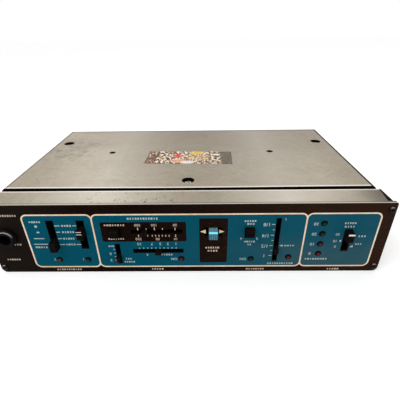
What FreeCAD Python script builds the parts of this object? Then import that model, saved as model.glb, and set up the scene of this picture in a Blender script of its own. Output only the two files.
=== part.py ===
"""Half-width, one-unit rack effects box, in millimetres.

The unit lies on its lid, so +Z points out of its underside plate, -Y is the
way the front panel faces, and +X runs along the panel. The origin is the
middle of the box's footprint, on the surface that it lies on. Everything is
worked out first with y = 0 at the face of the front panel, and is moved to
the origin when it is written.
"""
import FreeCAD, Part
import math
import os

Vector = FreeCAD.Vector

# ---------------------------------------------------------------- sizes, mm
# Front panel: half of a 19 inch rack, one unit high
PANEL_W = 215.9
PANEL_H = 44.45
PANEL_T = 1.6
PANEL_R_LOW = 3.0           # corners beside the lid
PANEL_R_HIGH = 0.3          # corners beside the underside
PANEL_EDGE_BREAK = 0.2

# Cast frame behind the panel: flange, deep wall, and a spigot for the covers
FLANGE_T = 1.3
FRAME_DEPTH = 17.3          # panel face to the frame's rear edge
FRAME_SIDE_STEP = 0.7       # flange overhang at each end
FRAME_TOP_STEP = 0.35       # flange overhang above and below
FRAME_WALL = 2.4
FRAME_R_HIGH = 0.8          # wall's corners beside the underside, no less than its rear bevel
FRAME_COVE_R = 0.55         # hollow between flange and wall, at each end
FRAME_REAR_BEVEL = 0.5
FRAME_BACK_WEB = 1.9        # web that joins the wall to the spigot
SPIGOT_T = 1.5
SPIGOT_R = 0.8

# Folded sheet covers
GROOVE_W = 3.8              # open groove between frame and covers
BODY_LEN = 109.6
BODY_SIDE_STEP = 0.35       # covers lie this far inside the frame's ends
BODY_TOP_STEP = 0.7         # and this far below its upper and lower faces
SHEET_T = 1.6
BEND_INNER_R = 0.2
LID_LIP_H = 12.0
LID_LIP_FRONT = 8.0         # lip starts this far behind the covers' front edge
BEND_RELIEF = 0.4           # notch where a folded stretch ends

FIT = 0.2                   # gap between pieces that are slid together
TOUCH = 0.05                # radial gap of a screw or nut in its own seat
PLAY = 0.3                  # gap round a piece that moves

# Three posts join lid and underside; their screws sit in cups drawn in the underside
POST_SIDE_INSET = 10.1      # rear posts to the covers' ends
POST_REAR_INSET = 31.3      # rear posts to the covers' rear edge
POST_FRONT_INSET = 10.0     # front post to the covers' front edge
POST_FLATS = 6.5
CUP_R = 3.8
CUP_WALL = 0.8
CUP_DEPTH = 4.4             # plate's face to the floor of a cup
CUP_FLOOR_T = 1.4
BOARD_T = 1.6
BOARD_SIDE_GAP = 6.3
BOARD_FRONT_MARGIN = 5.1    # board ahead of the front post
BOARD_REAR_GAP = 6.0        # board to rear wall

# Threaded press nuts that a rack tray is bolted to
TRAY_SPACING = 114.4
TRAY_FRONT_INSET = 57.3     # nuts to the covers' front edge
TRAY_THREAD_R = 1.75
TRAY_NUT_R = 2.4
TRAY_NUT_FLATS = 7.0
TRAY_NUT_T = 2.0            # inside the underside plate
TRAY_BOLT_WINDOW = 6.4      # square way through the board for a long bolt

# Screws: head radius, head height, shank radius
CASE_SCREW = (2.8, 2.4, 1.5)
CASE_SCREW_GRIP = 8.0       # length in a post
LID_SCREW_HEAD_R = 2.9
SIDE_SCREW = (2.1, 0.9, 1.4)
PANEL_SCREW = (1.8, 1.1, 0.9)
PANEL_SCREW_LEN = 8.0
PANEL_SCREW_INSET = (2.55, 3.7)
PANEL_BOSS = 6.2
HEAD_TAPER = 0.7            # top of a domed head against its rim

# Boards and control bodies behind the panel
CONTROL_FRONT_Y = 2.6       # face of every control body
CONTROL_DEPTH = 8.4
CONTROL_SKIN = 0.8          # face of the can
CONTROL_BACK = 1.6
SLIDER_T = 4.2
SLIDER_EXTRA = 1.0          # slider wider than its lever, each side
TIP_BEVEL = 0.3
GROOVE_HALF = 0.25          # half the width of a finger groove
GROOVE_DEPTH = 0.5
CONTROL_BOARD_X = (-84.0, 98.0)
CONTROL_BOARD_Z = (3.6, 40.6)
SUPPORT_X = (-80.5, 26.4, 94.6)
SUPPORT_Z = (7.5, 37.0)
SUPPORT_W = 5.0             # square plastic board supports
SUPPORT_NECK_W = 3.0
SUPPORT_CATCH = (4.4, 1.4)  # width and thickness of the snap end

# Indicator lamps
LED_R = 1.5
LED_HOLE_R = 1.65
LED_OUT = 0.8
LED_SPACER_W = 3.4

# Quarter inch jacks and the low-voltage inlet
JACK_BORE_R = 3.25
JACK_BUSH_R = 4.7
JACK_BORE_DEPTH = 21.0      # behind the panel that holds it
JACK_BODY_STEP = 0.1        # block wider than the bush, each side
JACK_BODY_H = 14.0
JACK_BODY_DEPTH = 22.5
JACK_NUT_WALL = 1.3         # nut's flats outside the bush
JACK_NUT_T = 2.4
JACK_BUSH_PROUD = 0.8       # bush end beyond its nut
FRONT_JACK_Z = 25.1
FRONT_JACK_GAP = 1.5        # jack block to the spigot beside it
FRONT_NUT_WALL = 0.8
FRONT_NUT_BEVEL = 0.5
REAR_JACK_FIRST_X = -76.2
REAR_JACK_PITCH = 34.0
REAR_JACK_COUNT = 4
INLET_X = 72.0
INLET_BORE_R = 1.8
INLET_BUSH_R = 2.95
INLET_BODY_STEP = 1.05
INLET_BODY_H = 9.0
INLET_BODY_DEPTH = 13.0
INLET_BORE_DEPTH = 11.5
INLET_NUT_WALL = 1.05
INLET_NUT_T = 2.2

# Parts hung under the main board: a row is (first x, pitch, count)
CHIP = (9.6, 6.4, 3.4)
DELAY_CHIP = (19.0, 6.4, 3.4)
CHIP_SOCKET_LIP = 1.0       # socket wider than its chip, each side
CHIP_SOCKET_H = 3.0
OP_AMP_ROW = (-72.0, 18.0, 6)
DELAY_CHIP_ROW = (-66.0, 26.0, 3)
FILM_CAP = (7.2, 3.0, 7.0)
FILM_CAP_ROW = (-78.0, 14.0, 8)
FIRST_ROW_INSET = 20.9      # op amps to the covers' front edge
ROW_PITCH = 10.0            # to the film capacitors, and on to the delay chips
FILTER_CAP = (8.0, 21.0)    # radius, height
FILTER_CAP_ROW = (52.0, 20.0, 2)
SMALL_CAP = (3.15, 11.0)
SMALL_CAP_ROW = (-80.0, 30.0, 4)
CAP_TO_JACKS = 12.6         # capacitors' middles to the fronts of the jacks
HEAT_SINK_X = (64.0, 92.0)
HEAT_SINK_T = 1.6
HEAT_SINK_FOOT = 7.0
HEAT_SINK_H = 24.0
HEAT_SINK_TO_CAPS = 24.0
REGULATOR_X = (71.0, 85.0)
REGULATOR_W = 10.0
REGULATOR_TAB_T = 1.3
REGULATOR_BODY_T = 3.2
REGULATOR_BODY_H = 8.5
REGULATOR_TAB_H = 15.5
REGULATOR_END = 1.5         # tab's end to the heat sink's end
REGULATOR_LEG = (0.8, 0.6)
REGULATOR_LEG_PITCH = 2.54
RIBBON_X = (30.0, 50.0)
RIBBON_T = 1.0
RIBBON_BEND_R = 5.0
RIBBON_BELOW_MID = 1.225
RIBBON_INSET = 14.0         # header to the main board's front edge
HEADER_DEPTH = 6.0
HEADER_H = 5.0
HEADER_MARGIN = 1.5         # header wider than the ribbon, each side

# ------------------------------------------------------ places worked out
MID_Z = PANEL_H / 2
FRAME_X = PANEL_W / 2 - FRAME_SIDE_STEP
FRAME_Z = (FRAME_TOP_STEP, PANEL_H - FRAME_TOP_STEP)
FLANGE_BACK_Y = PANEL_T + FLANGE_T
BEND_R = SHEET_T + BEND_INNER_R
BODY_X = FRAME_X - BODY_SIDE_STEP
BODY_Z = (FRAME_Z[0] + BODY_TOP_STEP, FRAME_Z[1] - BODY_TOP_STEP)
BODY_FRONT_Y = FRAME_DEPTH + GROOVE_W
BODY_REAR_Y = BODY_FRONT_Y + BODY_LEN
INNER_X = BODY_X - SHEET_T
INNER_Z = (BODY_Z[0] + SHEET_T, BODY_Z[1] - SHEET_T)
SPIGOT_X = INNER_X - FIT
SPIGOT_Z = (INNER_Z[0] + FIT, INNER_Z[1] - FIT)
CUP_OUT_R = CUP_R + CUP_WALL
POST_FRONT_Y = BODY_FRONT_Y + POST_FRONT_INSET
POST_REAR_Y = BODY_REAR_Y - POST_REAR_INSET
POST_X = BODY_X - POST_SIDE_INSET
SPIGOT_END_Y = POST_FRONT_Y - CUP_OUT_R - FIT
LIP_X = INNER_X - FIT
REAR_INNER_Y = BODY_REAR_Y - SHEET_T
CUP_FLOOR_Z = BODY_Z[1] - CUP_DEPTH
BOARD_TOP_Z = CUP_FLOOR_Z - CUP_FLOOR_T
BOARD_LOW_Z = BOARD_TOP_Z - BOARD_T
BOARD_Y = (POST_FRONT_Y - BOARD_FRONT_MARGIN, REAR_INNER_Y - BOARD_REAR_GAP)
CONTROL_BACK_Y = CONTROL_FRONT_Y + CONTROL_DEPTH
CONTROL_BOARD_BACK_Y = CONTROL_BACK_Y + BOARD_T
POSTS = ((0.0, POST_FRONT_Y), (-POST_X, POST_REAR_Y), (POST_X, POST_REAR_Y))
TRAY_Y = BODY_FRONT_Y + TRAY_FRONT_INSET
TRAY_POINTS = ((-TRAY_SPACING / 2, TRAY_Y), (TRAY_SPACING / 2, TRAY_Y))
BOARD_X = INNER_X - BOARD_SIDE_GAP
LID_SCREW = (LID_SCREW_HEAD_R, BODY_Z[0], CASE_SCREW[2])    # its head reaches z = 0
SIDE_SCREW_Y = (BODY_FRONT_Y + SPIGOT_END_Y) / 2
SIDE_SCREW_Z = MID_Z / 2
JACK_BODY = (2 * (JACK_BUSH_R + JACK_BODY_STEP), JACK_BODY_H, JACK_BODY_DEPTH)
JACK_NUT_FLATS = 2 * (JACK_BUSH_R + JACK_NUT_WALL)
INLET_BODY = (2 * (INLET_BUSH_R + INLET_BODY_STEP), INLET_BODY_H, INLET_BODY_DEPTH)
INLET_NUT_FLATS = 2 * (INLET_BUSH_R + INLET_NUT_WALL)
FRONT_NUT_R = JACK_BUSH_R + FRONT_NUT_WALL
FRONT_JACK_X = SPIGOT_T + FRONT_JACK_GAP + JACK_BODY[0] / 2 - SPIGOT_X
FIRST_ROW_Y = BODY_FRONT_Y + FIRST_ROW_INSET
CAP_ROW_Y = REAR_INNER_Y - JACK_BODY_DEPTH - CAP_TO_JACKS
HEAT_SINK_Y = CAP_ROW_Y - HEAT_SINK_TO_CAPS
RIBBON_Y = BOARD_Y[0] + RIBBON_INSET
RIBBON_Z = MID_Z - RIBBON_BELOW_MID
REAR_JACKS = tuple(REAR_JACK_FIRST_X + REAR_JACK_PITCH * i for i in range(REAR_JACK_COUNT))
JACK_PROUD = JACK_NUT_T + JACK_BUSH_PROUD


class Control:
    """One slide control: a slot in the panel, a can behind it and a lever.

    Lengths run along the slide and widths across it. start is how far the
    lever stands from the middle of its travel, out is how far it stands proud
    of the panel, and margin is how far the can runs past each end of the slot.
    """

    def __init__(self, x, z, along, slot, travel, start, tip, out, width, margin, ribs):
        self.x, self.z, self.along = x, z, along
        self.slot, self.travel, self.start = slot, travel, start
        self.tip, self.out, self.ribs = tip, out, ribs
        self.can = (slot[0] + 2 * margin, width)

    def block(self, u, v, y):
        """A box from (low, high) ranges along, across and into the panel."""
        if self.along == "x":
            return box((self.x + u[0], self.x + u[1]), y, (self.z + v[0], self.z + v[1]))
        return box((self.x + v[0], self.x + v[1]), y, (self.z + u[0], self.z + u[1]))

    def centred(self, size, y, shift=0.0):
        length, width = size
        return self.block((shift - length / 2, shift + length / 2), (-width / 2, width / 2), y)


# Stepped switches
STEP_PITCH = 4.1
STEP_TIP = (5.8, 3.5)
STEP_OUT = 4.2
STEP_SLOT_W = 4.2
STEP_CAN_W = 8.0
STEP_MARGIN = 2.4
# Slide potentiometers
POT_TIP = (3.3, 2.2)
POT_OUT = 3.0
POT_SLOT_W = 2.8
POT_CAN_W = 7.0
# Two small switches and the sprung one
SMALL_TIP = (4.3, 4.5)
SMALL_SLOT_W = 5.5
SMALL_TRAVEL = 2.0
SMALL_OUT = 3.6
SMALL_CAN_W = 8.6
SMALL_MARGIN = 1.0
MODE_TIP = (4.85, 5.3)
MODE_SLOT_W = 5.9
MODE_TRAVEL = 4.0
MODE_OUT = 4.5
MODE_CAN_W = 10.0
MODE_MARGIN = 3.6


def step_switch(x, z, steps, at):
    """A switch of so many stops, standing at one of them, the lowest being 0."""
    travel = (steps - 1) * STEP_PITCH
    slot = (travel + STEP_TIP[0] + 2 * PLAY, STEP_SLOT_W)
    return Control(x, z, "z", slot, travel, at * STEP_PITCH - travel / 2, STEP_TIP, STEP_OUT,
                   STEP_CAN_W, STEP_MARGIN, 3)


def slide_pot(x, z, along, slot_len, travel, start, margin):
    return Control(x, z, along, (slot_len, POT_SLOT_W), travel, start, POT_TIP, POT_OUT,
                   POT_CAN_W, margin, 1)


def small_switch(x, z):
    """A two-way switch, standing at its upper stop."""
    slot = (SMALL_TRAVEL + SMALL_TIP[0] + 2 * PLAY, SMALL_SLOT_W)
    return Control(x, z, "z", slot, SMALL_TRAVEL, SMALL_TRAVEL / 2, SMALL_TIP, SMALL_OUT,
                   SMALL_CAN_W, SMALL_MARGIN, 4)


def sprung_switch(x, z):
    """A switch that springs back to the middle of its slot."""
    slot = (MODE_TRAVEL + MODE_TIP[0] + 2 * PLAY, MODE_SLOT_W)
    return Control(x, z, "x", slot, MODE_TRAVEL, 0.0, MODE_TIP, MODE_OUT,
                   MODE_CAN_W, MODE_MARGIN, 5)


CONTROLS = {
    "output_switch_a": step_switch(-72.4, 26.15, 4, 0),
    "output_switch_b": step_switch(-56.2, 26.15, 4, 2),
    "input_level_switch": step_switch(86.2, 21.65, 3, 2),
    "delay_range_switch": small_switch(-38.3, 27.15),
    "chorus_depth_switch": small_switch(33.8, 27.15),
    "mode_switch": sprung_switch(14.25, 27.75),
    "sweep_speed_pot": slide_pot(48.6, 21.9, "z", 28.6, 20.0, -5.9, 3.0),
    "delay_time_pot": slide_pot(-16.1, 28.1, "x", 27.6, 20.0, -6.3, 3.0),
    "feedback_pot": slide_pot(-16.1, 15.1, "x", 28.0, 20.0, 0.15, 3.0),
    "delay_level_pot": slide_pot(-38.4, 13.2, "z", 13.9, 10.0, -2.3, 1.4),
}

LEDS = {
    "leds_green": ((-56.2, 9.3), (35.4, 9.4), (72.4, 32.8), (72.4, 26.2)),
    "leds_red": ((-3.5, 9.6), (56.2, 10.6), (72.4, 19.5), (72.4, 12.9)),
    "led_amber": ((-72.4, 9.4),),
}


# ------------------------------------------------------------ small shapes
def box(x, y, z):
    """A box from (low, high) on each axis."""
    return Part.makeBox(x[1] - x[0], y[1] - y[0], z[1] - z[0], Vector(x[0], y[0], z[0]))


def rounded_bar(x, z, y, r_low=0.0, r_high=0.0):
    """A bar along Y with round corners: r_low at its low z side, r_high at its high one."""
    corners = ((x[1], z[0], r_low, -1, 1), (x[1], z[1], r_high, -1, -1),
               (x[0], z[1], r_high, 1, -1), (x[0], z[0], r_low, 1, 1))
    points = []
    for index, (cx, cz, r, sx, sz) in enumerate(corners):
        first, last = (cx + sx * r, cz), (cx, cz + sz * r)
        if index % 2:
            first, last = last, first
        knee = r * (1 - math.sqrt(0.5))
        points.append((first, (cx + sx * knee, cz + sz * knee), last, r))
    edges = []
    for index, (_, _, leave, _) in enumerate(points):
        enter, middle, end, r = points[(index + 1) % 4]
        edges.append(Part.LineSegment(at_y(leave, y[0]), at_y(enter, y[0])).toShape())
        if r > 0:
            edges.append(Part.Arc(at_y(enter, y[0]), at_y(middle, y[0]),
                                  at_y(end, y[0])).toShape())
    return Part.Face(Part.Wire(edges)).extrude(Vector(0, y[1] - y[0], 0))


def at_y(point, y):
    return Vector(point[0], y, point[1])


def rod(r, start, end):
    """A round rod between two points."""
    way = end - start
    return Part.makeCylinder(r, way.Length, start, way)


def rod_y(r, x, z, y):
    return rod(r, Vector(x, y[0], z), Vector(x, y[1], z))


def rod_z(r, x, y, z):
    return rod(r, Vector(x, y, z[0]), Vector(x, y, z[1]))


def hex_bar(flats, start, end):
    """A hexagonal bar between two points, flats across."""
    way = end - start
    r = flats / math.sqrt(3)
    corners = [Vector(r * math.cos(math.radians(60 * i)), r * math.sin(math.radians(60 * i)), 0)
               for i in range(7)]
    bar = Part.Face(Part.makePolygon(corners)).extrude(Vector(0, 0, way.Length))
    return placed(bar, start, way)


def placed(shape, base, way):
    """Turn a shape made along +Z to point along way, and stand it at base."""
    shape.Placement = FreeCAD.Placement(base, FreeCAD.Rotation(Vector(0, 0, 1), way))
    return shape


def edges_where(shape, test):
    return [edge for edge in shape.Edges if test(edge)]


def edge_spans(edge, axis):
    """The edge's lowest and highest value on one axis."""
    bounds = edge.BoundBox
    return {"x": (bounds.XMin, bounds.XMax), "y": (bounds.YMin, bounds.YMax),
            "z": (bounds.ZMin, bounds.ZMax)}[axis]


def lies_at(edge, axis, value):
    low, high = edge_spans(edge, axis)
    return abs(low - value) < 1e-4 and abs(high - value) < 1e-4


# ------------------------------------------------------------------ screws
def screw(size, length, seat, out, domed=True):
    """A screw with its head's underside at seat and its head pointing out."""
    head_r, head_h, shank_r = size
    if domed:
        head = Part.makeCone(head_r, HEAD_TAPER * head_r, head_h)
    else:
        head = Part.makeCylinder(head_r, head_h)
    shank = Part.makeCylinder(shank_r, length, Vector(0, 0, -length))
    return placed(head.fuse(shank), seat, out)


def together(shapes):
    """Separate solids kept in one node."""
    return Part.makeCompound(list(shapes))


# ----------------------------------------------------------- panel and frame
def panel_screw_points():
    x, z = PANEL_W / 2 - PANEL_SCREW_INSET[0], PANEL_SCREW_INSET[1]
    return [(sx * x, level) for sx in (-1, 1) for level in (z, PANEL_H - z)]


def front_panel():
    half = PANEL_W / 2
    panel = rounded_bar((-half, half), (0, PANEL_H), (0, PANEL_T), PANEL_R_LOW, PANEL_R_HIGH)
    face_edges = [edge for edge in panel.Edges if lies_at(edge, "y", 0)]
    panel = panel.makeChamfer(PANEL_EDGE_BREAK, face_edges)
    through = (-1, PANEL_T + 1)
    cuts = [c.centred(c.slot, through) for c in CONTROLS.values()]
    cuts += [rod_y(LED_HOLE_R, x, z, through) for spots in LEDS.values() for x, z in spots]
    cuts += [rod_y(PANEL_SCREW[2] + FIT, x, z, through) for x, z in panel_screw_points()]
    cuts.append(rod_y(JACK_BUSH_R + TOUCH, FRONT_JACK_X, FRONT_JACK_Z, through))
    return panel.cut(cuts)


def panel_screws():
    return together(screw(PANEL_SCREW, PANEL_SCREW_LEN, Vector(x, 0, z), Vector(0, -1, 0))
                    for x, z in panel_screw_points())


def front_frame():
    """Flange, deep wall and spigot in one casting, with a boss in each corner."""
    half = PANEL_W / 2
    flange = rounded_bar((-half, half), (0, PANEL_H), (PANEL_T, FLANGE_BACK_Y),
                         PANEL_R_LOW, PANEL_R_HIGH)
    wall = rounded_bar((-FRAME_X, FRAME_X), FRAME_Z, (PANEL_T, FRAME_DEPTH),
                       PANEL_R_LOW - FRAME_SIDE_STEP, FRAME_R_HIGH)
    rear_edges = edges_where(wall, lambda e: lies_at(e, "y", FRAME_DEPTH))
    wall = wall.makeChamfer(FRAME_REAR_BEVEL, rear_edges)
    spigot = rounded_bar((-SPIGOT_X, SPIGOT_X), SPIGOT_Z,
                         (FRAME_DEPTH - FRAME_BACK_WEB, SPIGOT_END_Y), SPIGOT_R, SPIGOT_R)
    pocket = box((FRAME_WALL - FRAME_X, FRAME_X - FRAME_WALL), (0, FRAME_DEPTH - FRAME_BACK_WEB),
                 (FRAME_Z[0] + FRAME_WALL, FRAME_Z[1] - FRAME_WALL))
    throat = box((SPIGOT_T - SPIGOT_X, SPIGOT_X - SPIGOT_T), (0, SPIGOT_END_Y + 1),
                 (SPIGOT_Z[0] + SPIGOT_T, SPIGOT_Z[1] - SPIGOT_T))
    frame = flange.fuse([wall, spigot] + end_coves()).cut([pocket, throat])
    frame = frame.fuse([corner_boss(x, z) for x, z in panel_screw_points()])
    holes = [rod_y(PANEL_SCREW[2] + TOUCH, x, z, (0, PANEL_SCREW_LEN + TOUCH))
             for x, z in panel_screw_points()]
    holes += side_screw_holes(SPIGOT_X - SPIGOT_T - 1, SPIGOT_X + 1)
    return frame.cut(holes).removeSplitter()


def corner_boss(x, z):
    """A block in one corner of the frame, long enough for its panel screw."""
    side, up = math.copysign(1, x), math.copysign(1, z - MID_Z)
    overlap = FRAME_WALL / 2
    reach_x = sorted(side * (FRAME_X - d) for d in (overlap, PANEL_BOSS))
    reach_z = sorted(MID_Z + up * (MID_Z - FRAME_Z[0] - d) for d in (overlap, PANEL_BOSS))
    return box(reach_x, (PANEL_T, PANEL_T + PANEL_SCREW_LEN), reach_z)


def side_screw_holes(near, far):
    """Holes for the screw at each end, between two distances from the middle."""
    return [rod(SIDE_SCREW[2] + TOUCH, Vector(s * near, SIDE_SCREW_Y, SIDE_SCREW_Z),
                Vector(s * far, SIDE_SCREW_Y, SIDE_SCREW_Z)) for s in (-1, 1)]


def end_coves():
    """Hollow strips in the corner between flange and wall at each end."""
    r, strips = FRAME_COVE_R, []
    for side in (-1, 1):
        foot = Vector(side * FRAME_X, FLANGE_BACK_Y, PANEL_R_LOW)
        out, back = Vector(side * r, 0, 0), Vector(0, r, 0)
        bow = foot + (out + back) * (1 - math.sqrt(0.5))
        section = Part.Wire([Part.LineSegment(foot, foot + out).toShape(),
                             Part.Arc(foot + out, bow, foot + back).toShape(),
                             Part.LineSegment(foot + back, foot).toShape()])
        strips.append(Part.Face(section).extrude(Vector(0, 0, PANEL_H - PANEL_R_LOW - FRAME_R_HIGH)))
    return strips


# ------------------------------------------------------------------ covers
def bottom_cover():
    """The underside plate, with side walls folded from it and three drawn cups."""
    span = (BODY_FRONT_Y, BODY_REAR_Y)
    cover = rounded_bar((-BODY_X, BODY_X), BODY_Z, span, 0, BEND_R)
    hollow = rounded_bar((-INNER_X, INNER_X), (BODY_Z[0] - 1, INNER_Z[1]), (span[0] - 1, span[1] + 1),
                         0, BEND_INNER_R)
    cups = [rod_z(CUP_OUT_R, x, y, (BOARD_TOP_Z, INNER_Z[1])) for x, y in POSTS]
    cuts = [rod_z(CUP_R, x, y, (CUP_FLOOR_Z, BODY_Z[1] + 1)) for x, y in POSTS]
    cuts += [rod_z(CASE_SCREW[2] + FIT, x, y, (BOARD_TOP_Z - 1, CUP_FLOOR_Z + 1)) for x, y in POSTS]
    cuts += [rod_z(TRAY_NUT_R, x, y, (INNER_Z[1] - 1, BODY_Z[1] + 1)) for x, y in TRAY_POINTS]
    cuts += side_screw_holes(INNER_X - 1, BODY_X + 1)
    return cover.cut(hollow).fuse(cups).cut(cuts)


def side_screws():
    """Screws through the covers' side walls into the frame's spigot."""
    length = BODY_X - SPIGOT_X + SPIGOT_T
    return together(screw(SIDE_SCREW, length, Vector(s * BODY_X, SIDE_SCREW_Y, SIDE_SCREW_Z),
                          Vector(s, 0, 0)) for s in (-1, 1))


def top_cover():
    """The lid, with the rear wall and two side lips folded up from it."""
    y, z = (BODY_FRONT_Y, BODY_REAR_Y), (BODY_Z[0], SPIGOT_Z[1])
    lid = box((-LIP_X, LIP_X), y, z)
    fold = edges_where(lid, lambda e: lies_at(e, "y", y[1]) and lies_at(e, "z", z[0]))
    lid = lid.makeFillet(BEND_R, fold)
    inside = box((-LIP_X - 1, LIP_X + 1), (y[0] - 1, REAR_INNER_Y), (INNER_Z[0], z[1] + 1))
    lid = lid.cut(inside).fuse([side_lip(s) for s in (-1, 1)]).cut(bend_reliefs())
    rear = (REAR_INNER_Y - 1, BODY_REAR_Y + 1)
    holes = [rod_z(CASE_SCREW[2] + TOUCH, x, y, (0, INNER_Z[0] + 1)) for x, y in POSTS]
    holes += [rod_y(JACK_BUSH_R + TOUCH, x, MID_Z, rear) for x in REAR_JACKS]
    holes.append(rod_y(INLET_BUSH_R + TOUCH, INLET_X, MID_Z, rear))
    return lid.cut(holes).removeSplitter()


def side_lip(side):
    """One lip of the lid, standing just inside the side wall."""
    inner = LIP_X - SHEET_T
    return box(sorted((side * inner, side * LIP_X)),
               (BODY_FRONT_Y + LID_LIP_FRONT, REAR_INNER_Y - BEND_RELIEF),
               (BODY_Z[0], INNER_Z[0] + LID_LIP_H))


def bend_reliefs():
    """Slits where a lip ends beside the rear wall."""
    return [box(sorted((side * (LIP_X - SHEET_T), side * (LIP_X + 1))),
                (REAR_INNER_Y - BEND_RELIEF, REAR_INNER_Y), (0, INNER_Z[0] + 1)) for side in (-1, 1)]


def lid_screws():
    """Low-headed screws through the lid into the posts; the unit lies on them."""
    return together(screw(LID_SCREW, SHEET_T + CASE_SCREW_GRIP, Vector(x, y, BODY_Z[0]),
                          Vector(0, 0, -1), domed=False) for x, y in POSTS)


def case_posts():
    posts = []
    for x, y in POSTS:
        post = hex_bar(POST_FLATS, Vector(x, y, INNER_Z[0]), Vector(x, y, BOARD_LOW_Z))
        posts.append(post.cut(rod_z(CASE_SCREW[2] + TOUCH, x, y, (INNER_Z[0] - 1, BOARD_LOW_Z + 1))))
    return together(posts)


def case_screws():
    """Screws through the cups and the board into the posts."""
    length = CUP_FLOOR_T + BOARD_T + CASE_SCREW_GRIP
    return together(screw(CASE_SCREW, length, Vector(x, y, CUP_FLOOR_Z), Vector(0, 0, 1))
                    for x, y in POSTS)


def tray_nuts():
    """Press nuts in the underside, threaded for a rack tray's bolts."""
    nuts = []
    for x, y in TRAY_POINTS:
        nut = rod_z(TRAY_NUT_R, x, y, (INNER_Z[1], BODY_Z[1]))
        nut = nut.fuse(hex_bar(TRAY_NUT_FLATS, Vector(x, y, INNER_Z[1] - TRAY_NUT_T),
                               Vector(x, y, INNER_Z[1])))
        nuts.append(nut.cut(rod_z(TRAY_THREAD_R, x, y, (0, PANEL_H))))
    return together(nuts)


# ---------------------------------------------------------- slide controls
def control_body(c):
    """A can with a slot in its face and a race for the slider inside."""
    way_in = (c.tip[0] + c.travel + 2 * PLAY, c.tip[1] + 2 * PLAY)
    can = c.centred(c.can, (CONTROL_FRONT_Y, CONTROL_BACK_Y))
    race = c.centred((way_in[0], way_in[1] + 2 * SLIDER_EXTRA),
                     (CONTROL_FRONT_Y + CONTROL_SKIN, CONTROL_BACK_Y - CONTROL_BACK))
    mouth = c.centred(way_in, (CONTROL_FRONT_Y - 1, CONTROL_FRONT_Y + CONTROL_SKIN + 1))
    return can.cut([race, mouth])


def control_lever(c):
    """The piece a finger moves: ribbed tip, stem through the slot, slider in the race."""
    slider_y = CONTROL_FRONT_Y + CONTROL_SKIN + PLAY
    tip = c.centred(c.tip, (-c.out, slider_y + SLIDER_T), c.start)
    tip = tip.makeChamfer(TIP_BEVEL, edges_where(tip, lambda e: lies_at(e, "y", -c.out)))
    slider = c.centred((c.tip[0], c.tip[1] + 2 * SLIDER_EXTRA), (slider_y, slider_y + SLIDER_T), c.start)
    return tip.cut(rib_grooves(c)).fuse(slider).removeSplitter()


def rib_grooves(c):
    """Finger grooves across the tip, square to the way it slides."""
    pitch = c.tip[0] / (c.ribs + 1)
    first = c.start - pitch * (c.ribs - 1) / 2
    half = min(GROOVE_HALF, pitch / 4)
    return [c.block((first + i * pitch - half, first + i * pitch + half), (-c.tip[1], c.tip[1]),
                    (-c.out - 1, GROOVE_DEPTH - c.out)) for i in range(c.ribs)]


def support_points():
    return [(x, z) for x in SUPPORT_X for z in SUPPORT_Z]


def square_bar(width, x, z, y):
    return box((x - width / 2, x + width / 2), y, (z - width / 2, z + width / 2))


def control_board():
    board = box(CONTROL_BOARD_X, (CONTROL_BACK_Y, CONTROL_BOARD_BACK_Y), CONTROL_BOARD_Z)
    return board.cut([square_bar(SUPPORT_NECK_W + FIT, x, z, (0, FRAME_DEPTH))
                      for x, z in support_points()])


def board_supports():
    """Plastic supports stuck behind the panel; the control board snaps on them."""
    catch_w, catch_t = SUPPORT_CATCH
    supports = []
    for x, z in support_points():
        foot = square_bar(SUPPORT_W, x, z, (PANEL_T, CONTROL_BACK_Y))
        neck = square_bar(SUPPORT_NECK_W, x, z, (CONTROL_BACK_Y, CONTROL_BOARD_BACK_Y + catch_t))
        catch = square_bar(catch_w, x, z, (CONTROL_BOARD_BACK_Y, CONTROL_BOARD_BACK_Y + catch_t))
        supports.append(foot.fuse([neck, catch]))
    return together(supports)


# ------------------------------------------------------------------- lamps
def led_group(name):
    return together(rod_y(LED_R, x, z, (-LED_OUT, CONTROL_FRONT_Y)) for x, z in LEDS[name])


def led_spacers():
    return together(square_bar(LED_SPACER_W, x, z, (CONTROL_FRONT_Y, CONTROL_BACK_Y))
                    for spots in LEDS.values() for x, z in spots)


# ------------------------------------------------------------------- jacks
def socket(face, out, body, bush_r, bore_r, depth, bush_len):
    """A jack made along +Z: block behind the panel, bush through it, blind bore."""
    w, h, d = body
    block = Part.makeBox(w, h, d, Vector(-w / 2, -h / 2, -d))
    bush = Part.makeCylinder(bush_r, bush_len)
    bore = Part.makeCylinder(bore_r, depth + bush_len + 1, Vector(0, 0, -depth))
    return placed(block.fuse(bush).cut(bore), face, out)


def front_jack():
    return socket(Vector(FRONT_JACK_X, PANEL_T, FRONT_JACK_Z), Vector(0, -1, 0), JACK_BODY,
                  JACK_BUSH_R, JACK_BORE_R, JACK_BORE_DEPTH, PANEL_T + JACK_PROUD)


def front_jack_nut():
    """A round nut with a bevelled rim."""
    rim = Part.makeCylinder(FRONT_NUT_R, JACK_NUT_T - FRONT_NUT_BEVEL)
    bevel = Part.makeCone(FRONT_NUT_R, FRONT_NUT_R - FRONT_NUT_BEVEL, FRONT_NUT_BEVEL,
                          Vector(0, 0, JACK_NUT_T - FRONT_NUT_BEVEL))
    bore = Part.makeCylinder(JACK_BUSH_R + TOUCH, JACK_NUT_T)
    return placed(rim.fuse(bevel).cut(bore), Vector(FRONT_JACK_X, 0, FRONT_JACK_Z), Vector(0, -1, 0))


def rear_jacks():
    return together(socket(Vector(x, REAR_INNER_Y, MID_Z), Vector(0, 1, 0), JACK_BODY,
                           JACK_BUSH_R, JACK_BORE_R, JACK_BORE_DEPTH, SHEET_T + JACK_PROUD)
                    for x in REAR_JACKS)


def hex_nut(flats, thickness, thread_r, base):
    """A plain nut on the rear wall."""
    nut = hex_bar(flats, base, base + Vector(0, thickness, 0))
    return nut.cut(rod(thread_r + TOUCH, base - Vector(0, 1, 0), base + Vector(0, thickness + 1, 0)))


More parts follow.
